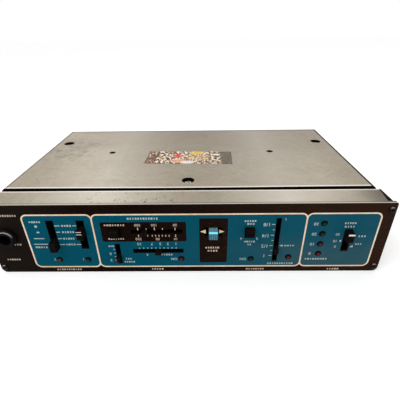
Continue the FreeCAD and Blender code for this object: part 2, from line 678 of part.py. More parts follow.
def rear_jack_nuts():
    return together(hex_nut(JACK_NUT_FLATS, JACK_NUT_T, JACK_BUSH_R, Vector(x, BODY_REAR_Y, MID_Z))
                    for x in REAR_JACKS)


def power_socket():
    return socket(Vector(INLET_X, REAR_INNER_Y, MID_Z), Vector(0, 1, 0), INLET_BODY,
                  INLET_BUSH_R, INLET_BORE_R, INLET_BORE_DEPTH,
                  SHEET_T + INLET_NUT_T + JACK_BUSH_PROUD)


def power_socket_nut():
    return hex_nut(INLET_NUT_FLATS, INLET_NUT_T, INLET_BUSH_R, Vector(INLET_X, BODY_REAR_Y, MID_Z))


# ------------------------------------------------- main board and its parts
def main_board():
    board = box((-BOARD_X, BOARD_X), BOARD_Y, (BOARD_LOW_Z, BOARD_TOP_Z))
    span = (BOARD_LOW_Z - 1, BOARD_TOP_Z + 1)
    half = TRAY_BOLT_WINDOW / 2
    windows = [box((x - half, x + half), (y - half, y + half), span) for x, y in TRAY_POINTS]
    return board.cut([rod_z(CASE_SCREW[2] + FIT, x, y, span) for x, y in POSTS] + windows)


def hang(x, y, size, gap=0.0):
    """A block hung under the board, centred at x, y."""
    w, d, h = size
    top = BOARD_LOW_Z - gap
    return box((x - w / 2, x + w / 2), (y - d / 2, y + d / 2), (top - h, top))


def socketed_chip(x, y, size):
    """A chip pushed into a low socket."""
    w, d, h = size
    holder = hang(x, y, (w, d + 2 * CHIP_SOCKET_LIP, CHIP_SOCKET_H))
    return holder.fuse(hang(x, y, size, CHIP_SOCKET_H))


def row(places):
    """The x of each part in a row."""
    first, pitch, count = places
    return [first + pitch * i for i in range(count)]


def delay_chips():
    return together(socketed_chip(x, FIRST_ROW_Y + 2 * ROW_PITCH, DELAY_CHIP)
                    for x in row(DELAY_CHIP_ROW))


def op_amp_chips():
    return together(socketed_chip(x, FIRST_ROW_Y, CHIP) for x in row(OP_AMP_ROW))


def film_capacitors():
    return together(hang(x, FIRST_ROW_Y + ROW_PITCH, FILM_CAP) for x in row(FILM_CAP_ROW))


def hanging_cans(size, places):
    """Round capacitors under the board, in one row ahead of the rear jacks."""
    r, h = size
    return together(rod_z(r, x, CAP_ROW_Y, (BOARD_LOW_Z - h, BOARD_LOW_Z)) for x in row(places))


def filter_capacitors():
    return hanging_cans(FILTER_CAP, FILTER_CAP_ROW)


def small_capacitors():
    return hanging_cans(SMALL_CAP, SMALL_CAP_ROW)


def heat_sink():
    """Upright plate hung from the board, its foot folded along the board."""
    top = BOARD_LOW_Z
    upright = box(HEAT_SINK_X, (HEAT_SINK_Y, HEAT_SINK_Y + HEAT_SINK_T), (top - HEAT_SINK_H, top))
    foot = box(HEAT_SINK_X, (HEAT_SINK_Y, HEAT_SINK_Y + HEAT_SINK_FOOT), (top - HEAT_SINK_T, top))
    return upright.fuse(foot).removeSplitter()


def voltage_regulators():
    """Regulators flat against the heat sink, three legs each up to the board."""
    return together(regulator(x) for x in REGULATOR_X)


def regulator(x):
    end_z = BOARD_LOW_Z - HEAT_SINK_H + REGULATOR_END
    legs_z = end_z + REGULATOR_TAB_H
    tab_y = HEAT_SINK_Y - REGULATOR_TAB_T
    across = (x - REGULATOR_W / 2, x + REGULATOR_W / 2)
    tab = box(across, (tab_y, HEAT_SINK_Y), (end_z, legs_z))
    body = box(across, (tab_y - REGULATOR_BODY_T, tab_y), (legs_z - REGULATOR_BODY_H, legs_z))
    leg_w, leg_t = REGULATOR_LEG
    leg_y = tab_y - REGULATOR_BODY_T / 2
    legs = [box((x + i * REGULATOR_LEG_PITCH - leg_w / 2, x + i * REGULATOR_LEG_PITCH + leg_w / 2),
                (leg_y - leg_t / 2, leg_y + leg_t / 2), (legs_z, BOARD_LOW_Z)) for i in (-1, 0, 1)]
    return tab.fuse([body] + legs)


def ribbon_headers():
    """One pin header on each board."""
    x = (RIBBON_X[0] - HEADER_MARGIN, RIBBON_X[1] + HEADER_MARGIN)
    on_control = box(x, (CONTROL_BOARD_BACK_Y, CONTROL_BOARD_BACK_Y + HEADER_DEPTH),
                     (RIBBON_Z - HEADER_H / 2, RIBBON_Z + HEADER_H / 2))
    on_main = box(x, (RIBBON_Y - HEADER_H / 2, RIBBON_Y + HEADER_H / 2),
                  (BOARD_LOW_Z - HEADER_DEPTH, BOARD_LOW_Z))
    return together((on_control, on_main))


def ribbon_cable():
    """Flat cable: back from the control board, then up to the main board."""
    half = RIBBON_T / 2
    start_y = CONTROL_BOARD_BACK_Y + HEADER_DEPTH
    end_z = BOARD_LOW_Z - HEADER_DEPTH
    centre = (RIBBON_Y - RIBBON_BEND_R, RIBBON_Z + RIBBON_BEND_R)
    outline = []
    for r in (RIBBON_BEND_R + half, RIBBON_BEND_R - half):
        knee = r * math.sqrt(0.5)
        run = [(start_y, centre[1] - r), (centre[0], centre[1] - r),
               (centre[0] + knee, centre[1] - knee), (centre[0] + r, centre[1]),
               (centre[0] + r, end_z)]
        outline.append([Vector(RIBBON_X[0], y, z) for y, z in run])
    outer, inner = outline
    edges = [Part.LineSegment(outer[0], outer[1]).toShape(),
             Part.Arc(outer[1], outer[2], outer[3]).toShape(),
             Part.LineSegment(outer[3], outer[4]).toShape(),
             Part.LineSegment(outer[4], inner[4]).toShape(),
             Part.LineSegment(inner[4], inner[3]).toShape(),
             Part.Arc(inner[3], inner[2], inner[1]).toShape(),
             Part.LineSegment(inner[1], inner[0]).toShape(),
             Part.LineSegment(inner[0], outer[0]).toShape()]
    strip = Part.Face(Part.Wire(edges))
    return strip.extrude(Vector(RIBBON_X[1] - RIBBON_X[0], 0, 0))


# ------------------------------------------------------------------ output
NODES = {
    "front_panel": front_panel,
    "front_frame": front_frame,
    "panel_screws": panel_screws,
    "bottom_cover": bottom_cover,
    "top_cover": top_cover,
    "side_screws": side_screws,
    "lid_screws": lid_screws,
    "case_posts": case_posts,
    "case_screws": case_screws,
    "tray_nuts": tray_nuts,
    "control_board": control_board,
    "board_supports": board_supports,
    "led_spacers": led_spacers,
    "front_jack": front_jack,
    "front_jack_nut": front_jack_nut,
    "rear_jacks": rear_jacks,
    "rear_jack_nuts": rear_jack_nuts,
    "power_socket": power_socket,
    "power_socket_nut": power_socket_nut,
    "main_board": main_board,
    "delay_chips": delay_chips,
    "op_amp_chips": op_amp_chips,
    "filter_capacitors": filter_capacitors,
    "small_capacitors": small_capacitors,
    "film_capacitors": film_capacitors,
    "heat_sink": heat_sink,
    "voltage_regulators": voltage_regulators,
    "ribbon_headers": ribbon_headers,
    "ribbon_cable": ribbon_cable,
}


def footprint_middle():
    """How far the box's middle lies behind the panel face."""
    front = -max(c.out for c in CONTROLS.values())
    back = BODY_REAR_Y + JACK_PROUD
    return (front + back) / 2


def all_shapes():
    """Every node's name and shape, at its place about the origin."""
    shapes = {name: make() for name, make in NODES.items()}
    shapes.update({name: led_group(name) for name in LEDS})
    for name, control in CONTROLS.items():
        shapes[name] = control_body(control)
        shapes[name + "_lever"] = control_lever(control)
    shift = Vector(0, -footprint_middle(), 0)
    return {name: shape.translated(shift) for name, shape in shapes.items()}


def main():
    os.makedirs("parts", exist_ok=True)
    for name, shape in all_shapes().items():
        shape.exportStep(os.path.join("parts", name + ".step"))
        print(name, len(shape.Solids), "solid(s), volume", round(shape.Volume, 1))


if __name__ == "__main__":
    main()
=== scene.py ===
import math
import random
from contextlib import contextmanager

import bmesh
import bpy
from bpy.props import FloatProperty, FloatVectorProperty, IntProperty, PointerProperty
from mathutils import Matrix, Vector


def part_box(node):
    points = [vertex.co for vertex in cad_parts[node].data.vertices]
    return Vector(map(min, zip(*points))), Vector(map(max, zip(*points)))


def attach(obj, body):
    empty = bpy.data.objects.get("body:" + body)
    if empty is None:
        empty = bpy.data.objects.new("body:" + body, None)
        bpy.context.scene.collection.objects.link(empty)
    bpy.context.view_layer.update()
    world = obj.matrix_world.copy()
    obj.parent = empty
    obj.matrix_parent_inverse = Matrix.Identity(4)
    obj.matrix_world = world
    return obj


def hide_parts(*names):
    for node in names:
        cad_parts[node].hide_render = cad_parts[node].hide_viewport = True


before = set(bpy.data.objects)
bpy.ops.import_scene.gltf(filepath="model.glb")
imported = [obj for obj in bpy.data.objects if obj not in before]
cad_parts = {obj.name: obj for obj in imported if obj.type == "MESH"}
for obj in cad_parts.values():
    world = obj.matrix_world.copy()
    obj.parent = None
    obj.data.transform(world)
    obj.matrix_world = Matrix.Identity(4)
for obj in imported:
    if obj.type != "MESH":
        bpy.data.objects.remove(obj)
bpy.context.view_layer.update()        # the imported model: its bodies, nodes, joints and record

bl_info = {
    "name": "Rack effects unit",
    "version": (1, 0, 0),
    "blender": (4, 5, 0),
    "location": "View3D > Sidebar > Effects unit",
    "description": "Paint, print, lamps and metal finish of a half-width rack effects unit",
    "category": "Object",
}

# The unit lies on its lid, so its print stands upside down: the underside plate is on top.
# Everything is in metres once it is placed; the tables of printed marks are in millimetres
# from the panel's middle (x) and from the edge that it stands on (z).
MM = 0.001
CASING = "casing"

PANEL_LOW, PANEL_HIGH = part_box("front_panel")
FACE_Y = PANEL_LOW.y
PLATE_LOW, PLATE_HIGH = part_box("bottom_cover")
FRAME_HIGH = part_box("front_frame")[1]
WALL_X = FRAME_HIGH.x - 0.7 * MM         # the frame's wall, inside its flange


# ---------------------------------------------------------------- settings
def amount(name, description, default, low=0.0, **more):
    """A number that never falls below low."""
    return FloatProperty(name=name, description=description, default=default, min=low, **more)


def length(name, description, default):
    """A length in millimetres, shown in scene units."""
    return amount(name, description, default * MM, unit="LENGTH", subtype="DISTANCE", precision=5)


def colour(name, description, default):
    return FloatVectorProperty(name=name, description=description, default=default,
                               size=3, min=0.0, max=1.0, subtype="COLOR")


class PanelPrint(bpy.types.PropertyGroup):
    """Paint and print of the front panel."""
    base: colour("Panel paint", "Brown-black paint of the whole panel", (0.0040, 0.0012, 0.0008))
    zone: colour("Zone paint", "Blue-green paint of the three zones", (0.0005, 0.0800, 0.1260))
    stripe: colour("Stripe", "Cream stripe round the zones", (0.950, 0.720, 0.500))
    mark: colour("Marks", "Pale marks and numbers on the blue-green", (0.560, 0.620, 0.600))
    cream: colour("Cream marks", "Marks on the brown-black", (0.740, 0.580, 0.450))
    stripe_width: length("Stripe width", "Width of the stripe round each zone", 0.82)
    corner: length("Zone corner", "Corner radius of the stripe", 3.0)
    film: length("Ink thickness", "How far the ink stands proud", 0.03)


class MetalFinish(bpy.types.PropertyGroup):
    """Bare and plated metal."""
    sheet: colour("Sheet", "Worn pewter-grey aluminium of covers and frame", (0.372, 0.328, 0.248))
    # This colour serves the stains and also painted shade that darkens the metal towards its right end
    sheet_stain_and_shade: colour("Sheet stain", "Darker, stained aluminium", (0.190, 0.162, 0.128))
    steel: colour("Steel", "Plated screws and nuts", (0.560, 0.540, 0.500))
    black_steel: colour("Black steel", "Blackened screws and jack nut", (0.0050, 0.0042, 0.0040))
    brass: colour("Brass", "Press nuts in the underside", (0.060, 0.045, 0.025))
    grain: length("Grain", "Distance over which the brushed grain changes", 0.35)


class ControlFinish(bpy.types.PropertyGroup):
    """Levers, lamps and the sprung switch."""
    lever: colour("Lever", "Black lever plastic", (0.0065, 0.0045, 0.0034))
    # Painted highlight: the white lines stand for light caught on the top edge and a groove of two
    # levers
    index: colour("Index line", "White line on a lever", (0.820, 0.800, 0.760))
    cap: colour("Cap", "Clear blue cap of the sprung switch", (0.022, 0.095, 0.150))
    # Painted highlight: the bright colour of the cap's front edge, which also glows a little
    cap_glint: colour("Cap edge", "Bright edge of the blue cap", (0.160, 0.820, 0.900))
    green: colour("Green lamp", "Unlit green lens", (0.010, 0.040, 0.012))
    red: colour("Red lamp", "Unlit red lens", (0.170, 0.020, 0.009))
    amber: colour("Amber lamp", "Unlit amber lens", (0.180, 0.055, 0.012))
    rib_count: IntProperty(name="Cap ribs", description="Ribs across the blue cap", default=5, min=2)


class Stage(bpy.types.PropertyGroup):
    """Floor, light and camera."""
    floor: colour("Floor", "Plain pale floor", (0.900, 0.900, 0.900))
    floor_size: length("Floor size", "Side of the floor", 6000.0)
    camera_place: FloatVectorProperty(name="Camera place", description="Where the camera stands",
                                      default=(0.009587, -0.201787, 0.124604), unit="LENGTH",
                                      subtype="TRANSLATION", precision=5)
    camera_turn: FloatVectorProperty(name="Camera turn", description="How the camera is turned",
                                     default=tuple(math.radians(a) for a in (60.593, 0.732, 0.493)),
                                     subtype="EULER", unit="ROTATION")
    lens: amount("Lens", "Focal length on a 36 mm sensor", 28.131, 1.0, unit="CAMERA")
    world: amount("Room light", "Strength of the even light all round", 0.66)
    key: amount("Key light", "Power of the soft light above", 3.0, unit="POWER")
    strips: amount("Strip lights", "Power of each tall light behind", 1.5, unit="POWER")
    floor_glow: amount("Floor white", "How far the seen floor is lifted to white", 0.38)


GROUPS = {"unit_print": PanelPrint, "unit_metal": MetalFinish,
          "unit_controls": ControlFinish, "unit_stage": Stage}


# ------------------------------------------------------------- node helpers
def sign(operation, swapped=False):
    """A sign of arithmetic between two signals, or a signal and a number."""
    def apply(self, other):
        return self.maths(operation, *((other, self) if swapped else (self, other)))
    return apply


class Signal:
    """A node's output that works like a number: each sign of arithmetic adds a Math node."""

    def __init__(self, socket):
        self.socket = socket
        self.tree = socket.id_data

    def maths(self, operation, *values):
        """A Math node's output; without values it works on this output alone."""
        return signal(self.tree, "ShaderNodeMath", dict(enumerate(values or (self,))),
                      operation=operation)

    def vector(self, operation, *others, output=0):
        """A Vector Math node's output, for places and directions."""
        return signal(self.tree, "ShaderNodeVectorMath", dict(enumerate((self, *others))),
                      output, operation=operation)

    def axes(self):
        """The three parts of a vector."""
        return [Signal(part) for part in add(self.tree, "ShaderNodeSeparateXYZ", {0: self}).outputs]

    def clamped(self):
        """Holds the result of the last sign between 0 and 1."""
        self.socket.node.use_clamp = True
        return self

    __add__, __radd__ = sign("ADD"), sign("ADD", swapped=True)
    __sub__, __rsub__ = sign("SUBTRACT"), sign("SUBTRACT", swapped=True)
    __mul__ = sign("MULTIPLY")
    __truediv__, __rtruediv__ = sign("DIVIDE"), sign("DIVIDE", swapped=True)
    __lt__, __gt__ = sign("LESS_THAN"), sign("GREATER_THAN")

    def __abs__(self):
        return self.maths("ABSOLUTE")


def fill(socket, value):
    """Gives an input another node's output, or a constant; colours are (r, g, b)."""
    if isinstance(value, Signal):
        socket.id_data.links.new(value.socket, socket)
    else:
        socket.default_value = (*value, 1.0) if socket.type == "RGBA" else value


def add(tree, kind, inputs=None, **options):
    """Adds a node, sets its options, then fills its inputs."""
    node = tree.nodes.new(kind)
    for key, value in options.items():
        setattr(node, key, value)
    for key, value in (inputs or {}).items():
        fill(node.inputs[key], value)
    return node


def signal(tree, kind, inputs=None, output=0, **options):
    """Adds a node and gives back one of its outputs."""
    return Signal(add(tree, kind, inputs, **options).outputs[output])


def higher(first, *others):
    """The highest of several signals at each point."""
    for other in others:
        first = first.maths("MAXIMUM", first, other)
    return first


def lower(first, second):
    """The lower of two signals at each point."""
    return first.maths("MINIMUM", first, second)


def remap(value, low, high, to_low=0.0, to_high=1.0):
    """Maps low..high to to_low..to_high, smoothly and clamped."""
    return signal(value.tree, "ShaderNodeMapRange",
                  {"Value": value, "From Min": low, "From Max": high,
                   "To Min": to_low, "To Max": to_high}, interpolation_type="SMOOTHSTEP")


def blend(factor, first, second):
    """Mixes two colours."""
    return signal(factor.tree, "ShaderNodeMix", {0: factor, 6: first, 7: second}, 2, data_type="RGBA")


def noise(vector, rate, detail, **inputs):
    """A Noise Texture's value; its other inputs go by their names."""
    return signal(vector.tree, "ShaderNodeTexNoise",
                  {"Vector": vector, "Scale": rate, "Detail": detail, **inputs})


def bump(height, strength, distance):
    """A surface direction that follows a height."""
    return signal(height.tree, "ShaderNodeBump",
                  {"Height": height, "Strength": strength, "Distance": distance})


def shade(tone, factor, lift=0.0):
    """A darker or lighter colour."""
    return tuple(min(1.0, factor * c + lift) for c in tone)


class Finish:
    """A new material with its Principled shader, and the place and facing that it works on."""

    def __init__(self, name):
        self.material = bpy.data.materials.new(name)
        self.material.use_nodes = True
        tree = self.material.node_tree
        tree.nodes.clear()
        self.shader = add(tree, "ShaderNodeBsdfPrincipled")
        add(tree, "ShaderNodeOutputMaterial", {0: Signal(self.shader.outputs[0])})
        coordinates = add(tree, "ShaderNodeTexCoord").outputs
        self.place = Signal(coordinates["Object"])
        self.normal = Signal(coordinates["Normal"])

    def feed(self, **values):
        """Fills the shader's inputs by name, with _ for a space, and gives back the material."""
        for key, value in values.items():
            fill(self.shader.inputs[key.replace("_", " ")], value)
        return self.material


def new_group(name, tree_kind, inputs, outputs):
    """A node group with sockets of kinds by name, with _ for a space, and what its inputs bring."""
    group = bpy.data.node_groups.new(name, tree_kind)
    for way, sockets in (("INPUT", inputs), ("OUTPUT", outputs)):
        for key, kind in sockets.items():
            group.interface.new_socket(key.replace("_", " "), in_out=way,
                                       socket_type="NodeSocket" + kind)
    given = add(group, "NodeGroupInput").outputs
    return group, [Signal(given[key.replace("_", " ")]) for key in inputs]


# ----------------------------------------------------------- shared effects
EFFECTS = []


def effect(name, *outputs, **inputs):
    """Makes a shared shader node group of a function that draws it.

    inputs are socket kinds by name, with _ for a space. A call of the decorated function puts
    the group in a material, with its values in that order, and gives back its outputs.
    """
    def keep(draw):
        def build():
            group, given = new_group(name, "ShaderNodeTree", inputs, dict.fromkeys(outputs, "Float"))
            drawn = draw(*given)
            add(group, "NodeGroupOutput", dict(zip(outputs, drawn if len(outputs) > 1 else [drawn])))

        def use(*values):
            node = add(values[0].tree, "ShaderNodeGroup", dict(enumerate(values)),
                       node_tree=bpy.data.node_groups[name])
            made = [Signal(socket) for socket in node.outputs]
            return made if len(outputs) > 1 else made[0]
        EFFECTS.append(build)
        return use
    return keep


@effect("Rounded zone", "Distance", Place="Vector", Low_X="Float", High_X="Float", Low_Z="Float",
        High_Z="Float", Corner="Float")
def zone_distance(place, low_x, high_x, low_z, high_z, corner):
    """Signed distance to a rounded rectangle that lies in the panel's plane."""
    along, _, up = place.axes()
    reach = [abs(at - (low + high) * 0.5) - (high - low) * 0.5 + corner
             for at, low, high in ((along, low_x, high_x), (up, low_z, high_z))]
    outside = [higher(r, 0.0) for r in reach]
    radius = (outside[0] * outside[0] + outside[1] * outside[1]).maths("SQRT")
    return radius + lower(higher(*reach), 0.0) - corner


@effect("Brushed grain", "Grain", "Height", Place="Vector", Spacing="Float")
def brushed(place, spacing):
    """Brushed grain drawn out along X, with a fine height for bump."""
    rate = 1.0 / spacing
    stretch = place.vector("MULTIPLY", (0.03, 1.0, 1.0))
    fine, broad = [noise(stretch, rate * times, detail, Roughness=0.65)
                   for times, detail in ((1.0, 3.0), (0.22, 2.0))]
    return remap((fine + broad) * 0.5, 0.35, 0.65), fine


@effect("Stains", "Cloud", "Specks", Place="Vector", Size="Float")
def stains(place, size):
    """Broad cloudy stains and small dark specks, as on handled bare metal."""
    rate = 1.0 / size
    broad = noise(place, rate, 4.0, Roughness=0.6, Distortion=0.6)
    spots = signal(place.tree, "ShaderNodeTexVoronoi",
                   {"Vector": place, "Scale": rate * 9.0, "Randomness": 1.0}, "Distance")
    where = noise(place, rate * 1.7, 2.0)
    return remap(broad, 0.38, 0.68), remap(spots, 0.10, 0.22, 1.0, 0.0) * remap(where, 0.52, 0.66)


def cloud(place, size):
    """The clouds of the stains, without their specks."""
    return stains(place, size)[0]


@effect("Scratches", "Lines", Place="Vector", Size="Float", Turn="Float")
def scratches(place, size, turn):
    """Fine scratches in two directions, broken up along their length."""
    rate = 1.0 / size
    found = []
    for more, stretch, seed in ((0.0, 0.06, 3.0), (1.9, 0.09, 11.0)):
        turned = signal(place.tree, "ShaderNodeVectorRotate", {"Vector": place, "Angle": turn + more},
                        rotation_type="Z_AXIS")
        drawn = turned.vector("MULTIPLY", (stretch, 1.0, 1.0)).vector("ADD", (seed, seed, 0.0))
        wander = noise(drawn, rate * 6.0, 3.0, Roughness=0.7)
        gate = signal(place.tree, "ShaderNodeTexNoise",
                      {"Vector": place, "Scale": rate, "Detail": 1.0, "W": seed}, noise_dimensions="4D")
        found.append(remap(abs(wander - 0.5), 0.0, 0.006, 1.0, 0.0) * remap(gate, 0.56, 0.66))
    return higher(*found)


@effect("Fine speckle", "Speckle", Place="Vector", Size="Float")
def speckled(place, size):
    """Fine even speckle of paint or moulded plastic."""
    return noise(place, 1.0 / size, 2.0)


@effect("Pits", "Pits", Place="Vector", Size="Float", Cover="Float")
def pits(place, size, cover):
    """Small dark pits that gather in places, drawn out a little along X."""
    rate = 1.0 / size
    ragged = noise(place.vector("MULTIPLY", (0.55, 0.45, 1.0)), rate, 3.0, Roughness=0.8)
    gather = noise(place, rate * 0.14, 1.0)
    return remap(ragged + gather * 0.5 + cover, 0.90, 0.96)


@effect("Smudge", "Smudge", Place="Vector", Middle="Vector", Reach="Float")
def smudged(place, middle, reach):
    """Greasy loops and patches that fade out round one spot."""
    local = place.vector("SUBTRACT", middle)
    away = local.vector("LENGTH", output="Value")
    wander = noise(local, 4.2 / reach, 2.0, Roughness=0.45, Distortion=1.1)
    loops = remap(abs(wander - 0.5), 0.0, 0.05, 1.0, 0.0)
    greasy = (loops * 0.75 + remap(wander, 0.48, 0.30)).clamped()
    return greasy * remap((1.0 - away / reach).clamped(), 0.0, 0.6)


@effect("Rubbed band", "Band", Where="Float", Middle="Float", Width="Float")
def band(where, middle, width):
    """1 at the middle of a band along an axis, fading to 0 a width away on each side."""
    return (1.0 - abs(where - middle) / width).clamped()


# ------------------------------------------------------------ mesh helpers
def panel_matrix(reads_down=False):
    """Takes a flat drawing to the panel's face: right and up, or turned over for the print."""
    side = -1.0 if reads_down else 1.0
    return Matrix(((side, 0, 0, 0), (0, 0, -1, FACE_Y), (0, side, 0, 0), (0, 0, 0, 1)))


def new_object(name, data):
    """An object that is in the scene."""
    thing = bpy.data.objects.new(name, data)
    bpy.context.scene.collection.objects.link(thing)
    return thing


def fit_piece(name, mesh, material, body, replaced=None):
    """Adds a piece that moves with a body, takes a paint slot and may stand in for a CAD node."""
    mesh.materials.clear()
    mesh.materials.append(material)
    piece = new_object(name, mesh)
    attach(piece, body)
    if replaced:
        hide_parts(replaced)


def dress(material, *nodes):
    """Gives CAD nodes their finish."""
    for node in nodes:
        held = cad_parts[node].data.materials
        held.clear()
        held.append(material)


def mesh_of(work, name, outwards=False):
    """Turns a bmesh into a mesh, with its faces turned outwards if wanted."""
    if outwards:
        bmesh.ops.recalc_face_normals(work, faces=work.faces)
    mesh = bpy.data.meshes.new(name)
    work.to_mesh(mesh)
    work.free()
    return mesh


@contextmanager
def edited(mesh):
    """A bmesh of a mesh, written back to it at the end."""
    work = bmesh.new()
    work.from_mesh(mesh)
    yield work
    work.to_mesh(mesh)
    work.free()


def ready_mesh(thing, name, matrix=None):
    """A plain mesh of an object as its modifiers leave it; the object is removed."""
    bpy.context.view_layer.update()
    held = thing.evaluated_get(bpy.context.evaluated_depsgraph_get())
    mesh = bpy.data.meshes.new_from_object(held)
    mesh.name = name
    if matrix is not None:
        mesh.transform(matrix)
    bpy.data.objects.remove(thing)
    return mesh


def flat_mesh(name, curve, matrix, gap=1e-7):
    """The mesh of a flat curve: doubled points joined, faces turned outwards."""
    mesh = ready_mesh(new_object(name, curve), name, matrix)
    with edited(mesh) as work:
        bmesh.ops.remove_doubles(work, verts=work.verts, dist=gap)
        bmesh.ops.dissolve_degenerate(work, edges=work.edges, dist=gap)
        bmesh.ops.recalc_face_normals(work, faces=work.faces)
    return mesh


def flat_drawing(name, loops, thickness, matrix):
    """Closed outlines in millimetres, holes among them, filled and given a thickness."""
    curve = bpy.data.curves.new(name, "CURVE")
    curve.dimensions = "2D"
    curve.fill_mode = "BOTH"
    for loop in loops:
        spline = curve.splines.new("POLY")
        spline.points.add(len(loop) - 1)
        for point, (x, z) in zip(spline.points, loop):
            point.co = (x * MM, z * MM, 0.0, 1.0)
        spline.use_cyclic_u = True
    curve.extrude = thickness / 2
    mesh = flat_mesh(name, curve, Matrix.Translation((0, 0, thickness / 2)))
    mesh.transform(matrix)
    return mesh


def bridge(work, low, high):
    """Faces between two rings of points; a ring may be one point."""
    count = max(len(low), len(high))
    for i in range(count):
        j = (i + 1) % count
        corners = (low[i % len(low)], low[j % len(low)], high[j % len(high)], high[i % len(high)])
        work.faces.new(list(dict.fromkeys(corners)))


def lathe(profile, segments):
    """A closed solid turned about Z from (radius, height) points, bottom to top."""
    work = bmesh.new()
    rings = []
    for radius, height in profile:
        turns = [2 * math.pi * i / segments for i in range(segments)] if radius else [0.0]
        rings.append([work.verts.new((radius * math.cos(a), radius * math.sin(a), height))
                      for a in turns])
    for low, high in zip(rings, rings[1:]):
        bridge(work, low, high)
    return mesh_of(work, "turned", outwards=True)


def bevelled_block(name, low, high, bevel):
    """A closed block between two corners, with every edge broken."""
    work = bmesh.new()
    bmesh.ops.create_cube(work, size=1.0)
    for vert in work.verts:
        vert.co = Vector([(a + b) / 2 + c * (b - a) for a, b, c in zip(low, high, vert.co)])
    bmesh.ops.bevel(work, geom=work.edges[:], offset=bevel, segments=3, profile=0.5, affect="EDGES")
    return mesh_of(work, name)


def shade_smooth(mesh, angle=35.0):
    """Smooth faces, with edges sharper than the angle left crisp."""
    mesh.polygons.foreach_set("use_smooth", [True] * len(mesh.polygons))
    with edited(mesh) as work:
        for edge in work.edges:
            if len(edge.link_faces) == 2:
                edge.smooth = edge.calc_face_angle(0.0) < math.radians(angle)
    return mesh


def join_meshes(name, meshes):
    """One mesh from several; they share one material."""
    work = bmesh.new()
    for mesh in meshes:
        work.from_mesh(mesh)
        bpy.data.meshes.remove(mesh)
    return mesh_of(work, name)


def solid_boxes(node):
    """The low and high corners of the box round each separate solid of a CAD node."""
    work = bmesh.new()
    work.from_mesh(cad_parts[node].data)
    bmesh.ops.remove_doubles(work, verts=work.verts, dist=1e-6)
    boxes, seen = [], set()
    for start in work.verts:
        if start in seen:
            continue
        stack, found = [start], []
        seen.add(start)
        while stack:
            vert = stack.pop()
            found.append(vert.co)
            for edge in vert.link_edges:
                other = edge.other_vert(vert)
                if other not in seen:
                    seen.add(other)
                    stack.append(other)
        boxes.append([Vector([end(c[i] for c in found) for i in range(3)]) for end in (min, max)])
    work.free()
    return boxes


# ------------------------------------------------------- geometry node trees
def new_geometry_tree(name, **inputs):
    """A geometry node tree with one geometry in and out, and what its inputs bring."""
    return new_group(name, "GeometryNodeTree", {"Geometry": "Geometry", **inputs},
                     {"Geometry": "Geometry"})


def finish_tree(geometry, material):
    """Every tree ends the same way: real copies, then the material."""
    real = signal(geometry.tree, "GeometryNodeRealizeInstances", {0: geometry})
    done = signal(geometry.tree, "GeometryNodeSetMaterial", {"Geometry": real, "Material": material})
    add(geometry.tree, "NodeGroupOutput", {"Geometry": done})


def make_mark_row_tree():
    """A straight row of flat marks, equal or a little uneven."""
    tree, (_, count, first, step, size, unevenness, seed, material) = new_geometry_tree(
        "Row of marks", Count="Int", First="Vector", Step="Vector", Size="Vector",
        Unevenness="Float", Seed="Int", Material="Material")
    row = signal(tree, "GeometryNodeMeshLine",
                 {"Count": count, "Start Location": first, "Offset": step}, mode="OFFSET")
    mark = signal(tree, "GeometryNodeMeshCube", {"Size": size})
    least = signal(tree, "ShaderNodeCombineXYZ",
                   {0: 1.0 - unevenness, 1: 1.0, 2: 1.0 - unevenness * 0.5})
    most = signal(tree, "ShaderNodeCombineXYZ", {0: 1.0 + unevenness * 0.6, 1: 1.0, 2: 1.0})
    scale = signal(tree, "FunctionNodeRandomValue", {0: least, 1: most, "Seed": seed},
                   data_type="FLOAT_VECTOR")
    finish_tree(signal(tree, "GeometryNodeInstanceOnPoints",
                       {"Points": row, "Instance": mark, "Scale": scale}), material)


def make_copies_tree():
    """The same shape at every point of the mesh that carries the modifier."""
    tree, (points, shape, material) = new_geometry_tree("Copies at points", Shape="Object",
                                                        Material="Material")
    drawn = signal(tree, "GeometryNodeObjectInfo", {"Object": shape}, "Geometry",
                   transform_space="ORIGINAL")
    finish_tree(signal(tree, "GeometryNodeInstanceOnPoints", {"Points": points, "Instance": drawn}),
                material)


def run_tree(name, tree_name, points=(), **values):
    """Runs a geometry node tree on loose points and returns the plain mesh that it makes."""
    mesh = bpy.data.meshes.new("points")
    mesh.from_pydata([tuple(p) for p in points], [], [])
    thing = new_object(name, mesh)
    modifier = thing.modifiers.new("Nodes", "NODES")
    modifier.node_group = bpy.data.node_groups[tree_name]
    sockets = {item.name: item.identifier for item in modifier.node_group.interface.items_tree
               if item.item_type == "SOCKET" and item.in_out == "INPUT"}
    for key, value in values.items():
        modifier[sockets[key]] = value
    return ready_mesh(thing, name)


def copies_at(name, shape_mesh, points, material):
    """Copies of a shape at points, as one plain mesh."""
    shape = new_object(name + "_shape", shape_mesh)
    mesh = run_tree(name, "Copies at points", points, Shape=shape, Material=material)
    bpy.data.objects.remove(shape)
    return mesh


def mark_row(name, first, step, count, size, film, material, unevenness=0.0, seed=0):
    """A row of printed bars: first and step are (x, z), size is (width, height), in millimetres."""
    return run_tree(name, "Row of marks", Count=count,
                    First=(first[0] * MM, FACE_Y - film / 2, first[1] * MM),
                    Step=(step[0] * MM, 0.0, step[1] * MM),
                    Size=(size[0] * MM, film, size[1] * MM), Unevenness=unevenness, Seed=seed,
                    Material=material)


# --------------------------------------------------------------- the print
# Zones of the panel between its stripes: (low x, high x), all with the same low and high z
ZONES = ((-86.6, -49.8), (-49.8, 63.1), (63.1, 101.3))
ZONE_Z = (4.0, 38.9)
TIME_INSET = (-45.9, -0.2, 21.6, 34.2)
MODE_INSET = (6.8, 22.0, 6.8, 36.3)
INSET_CORNER = 0.9

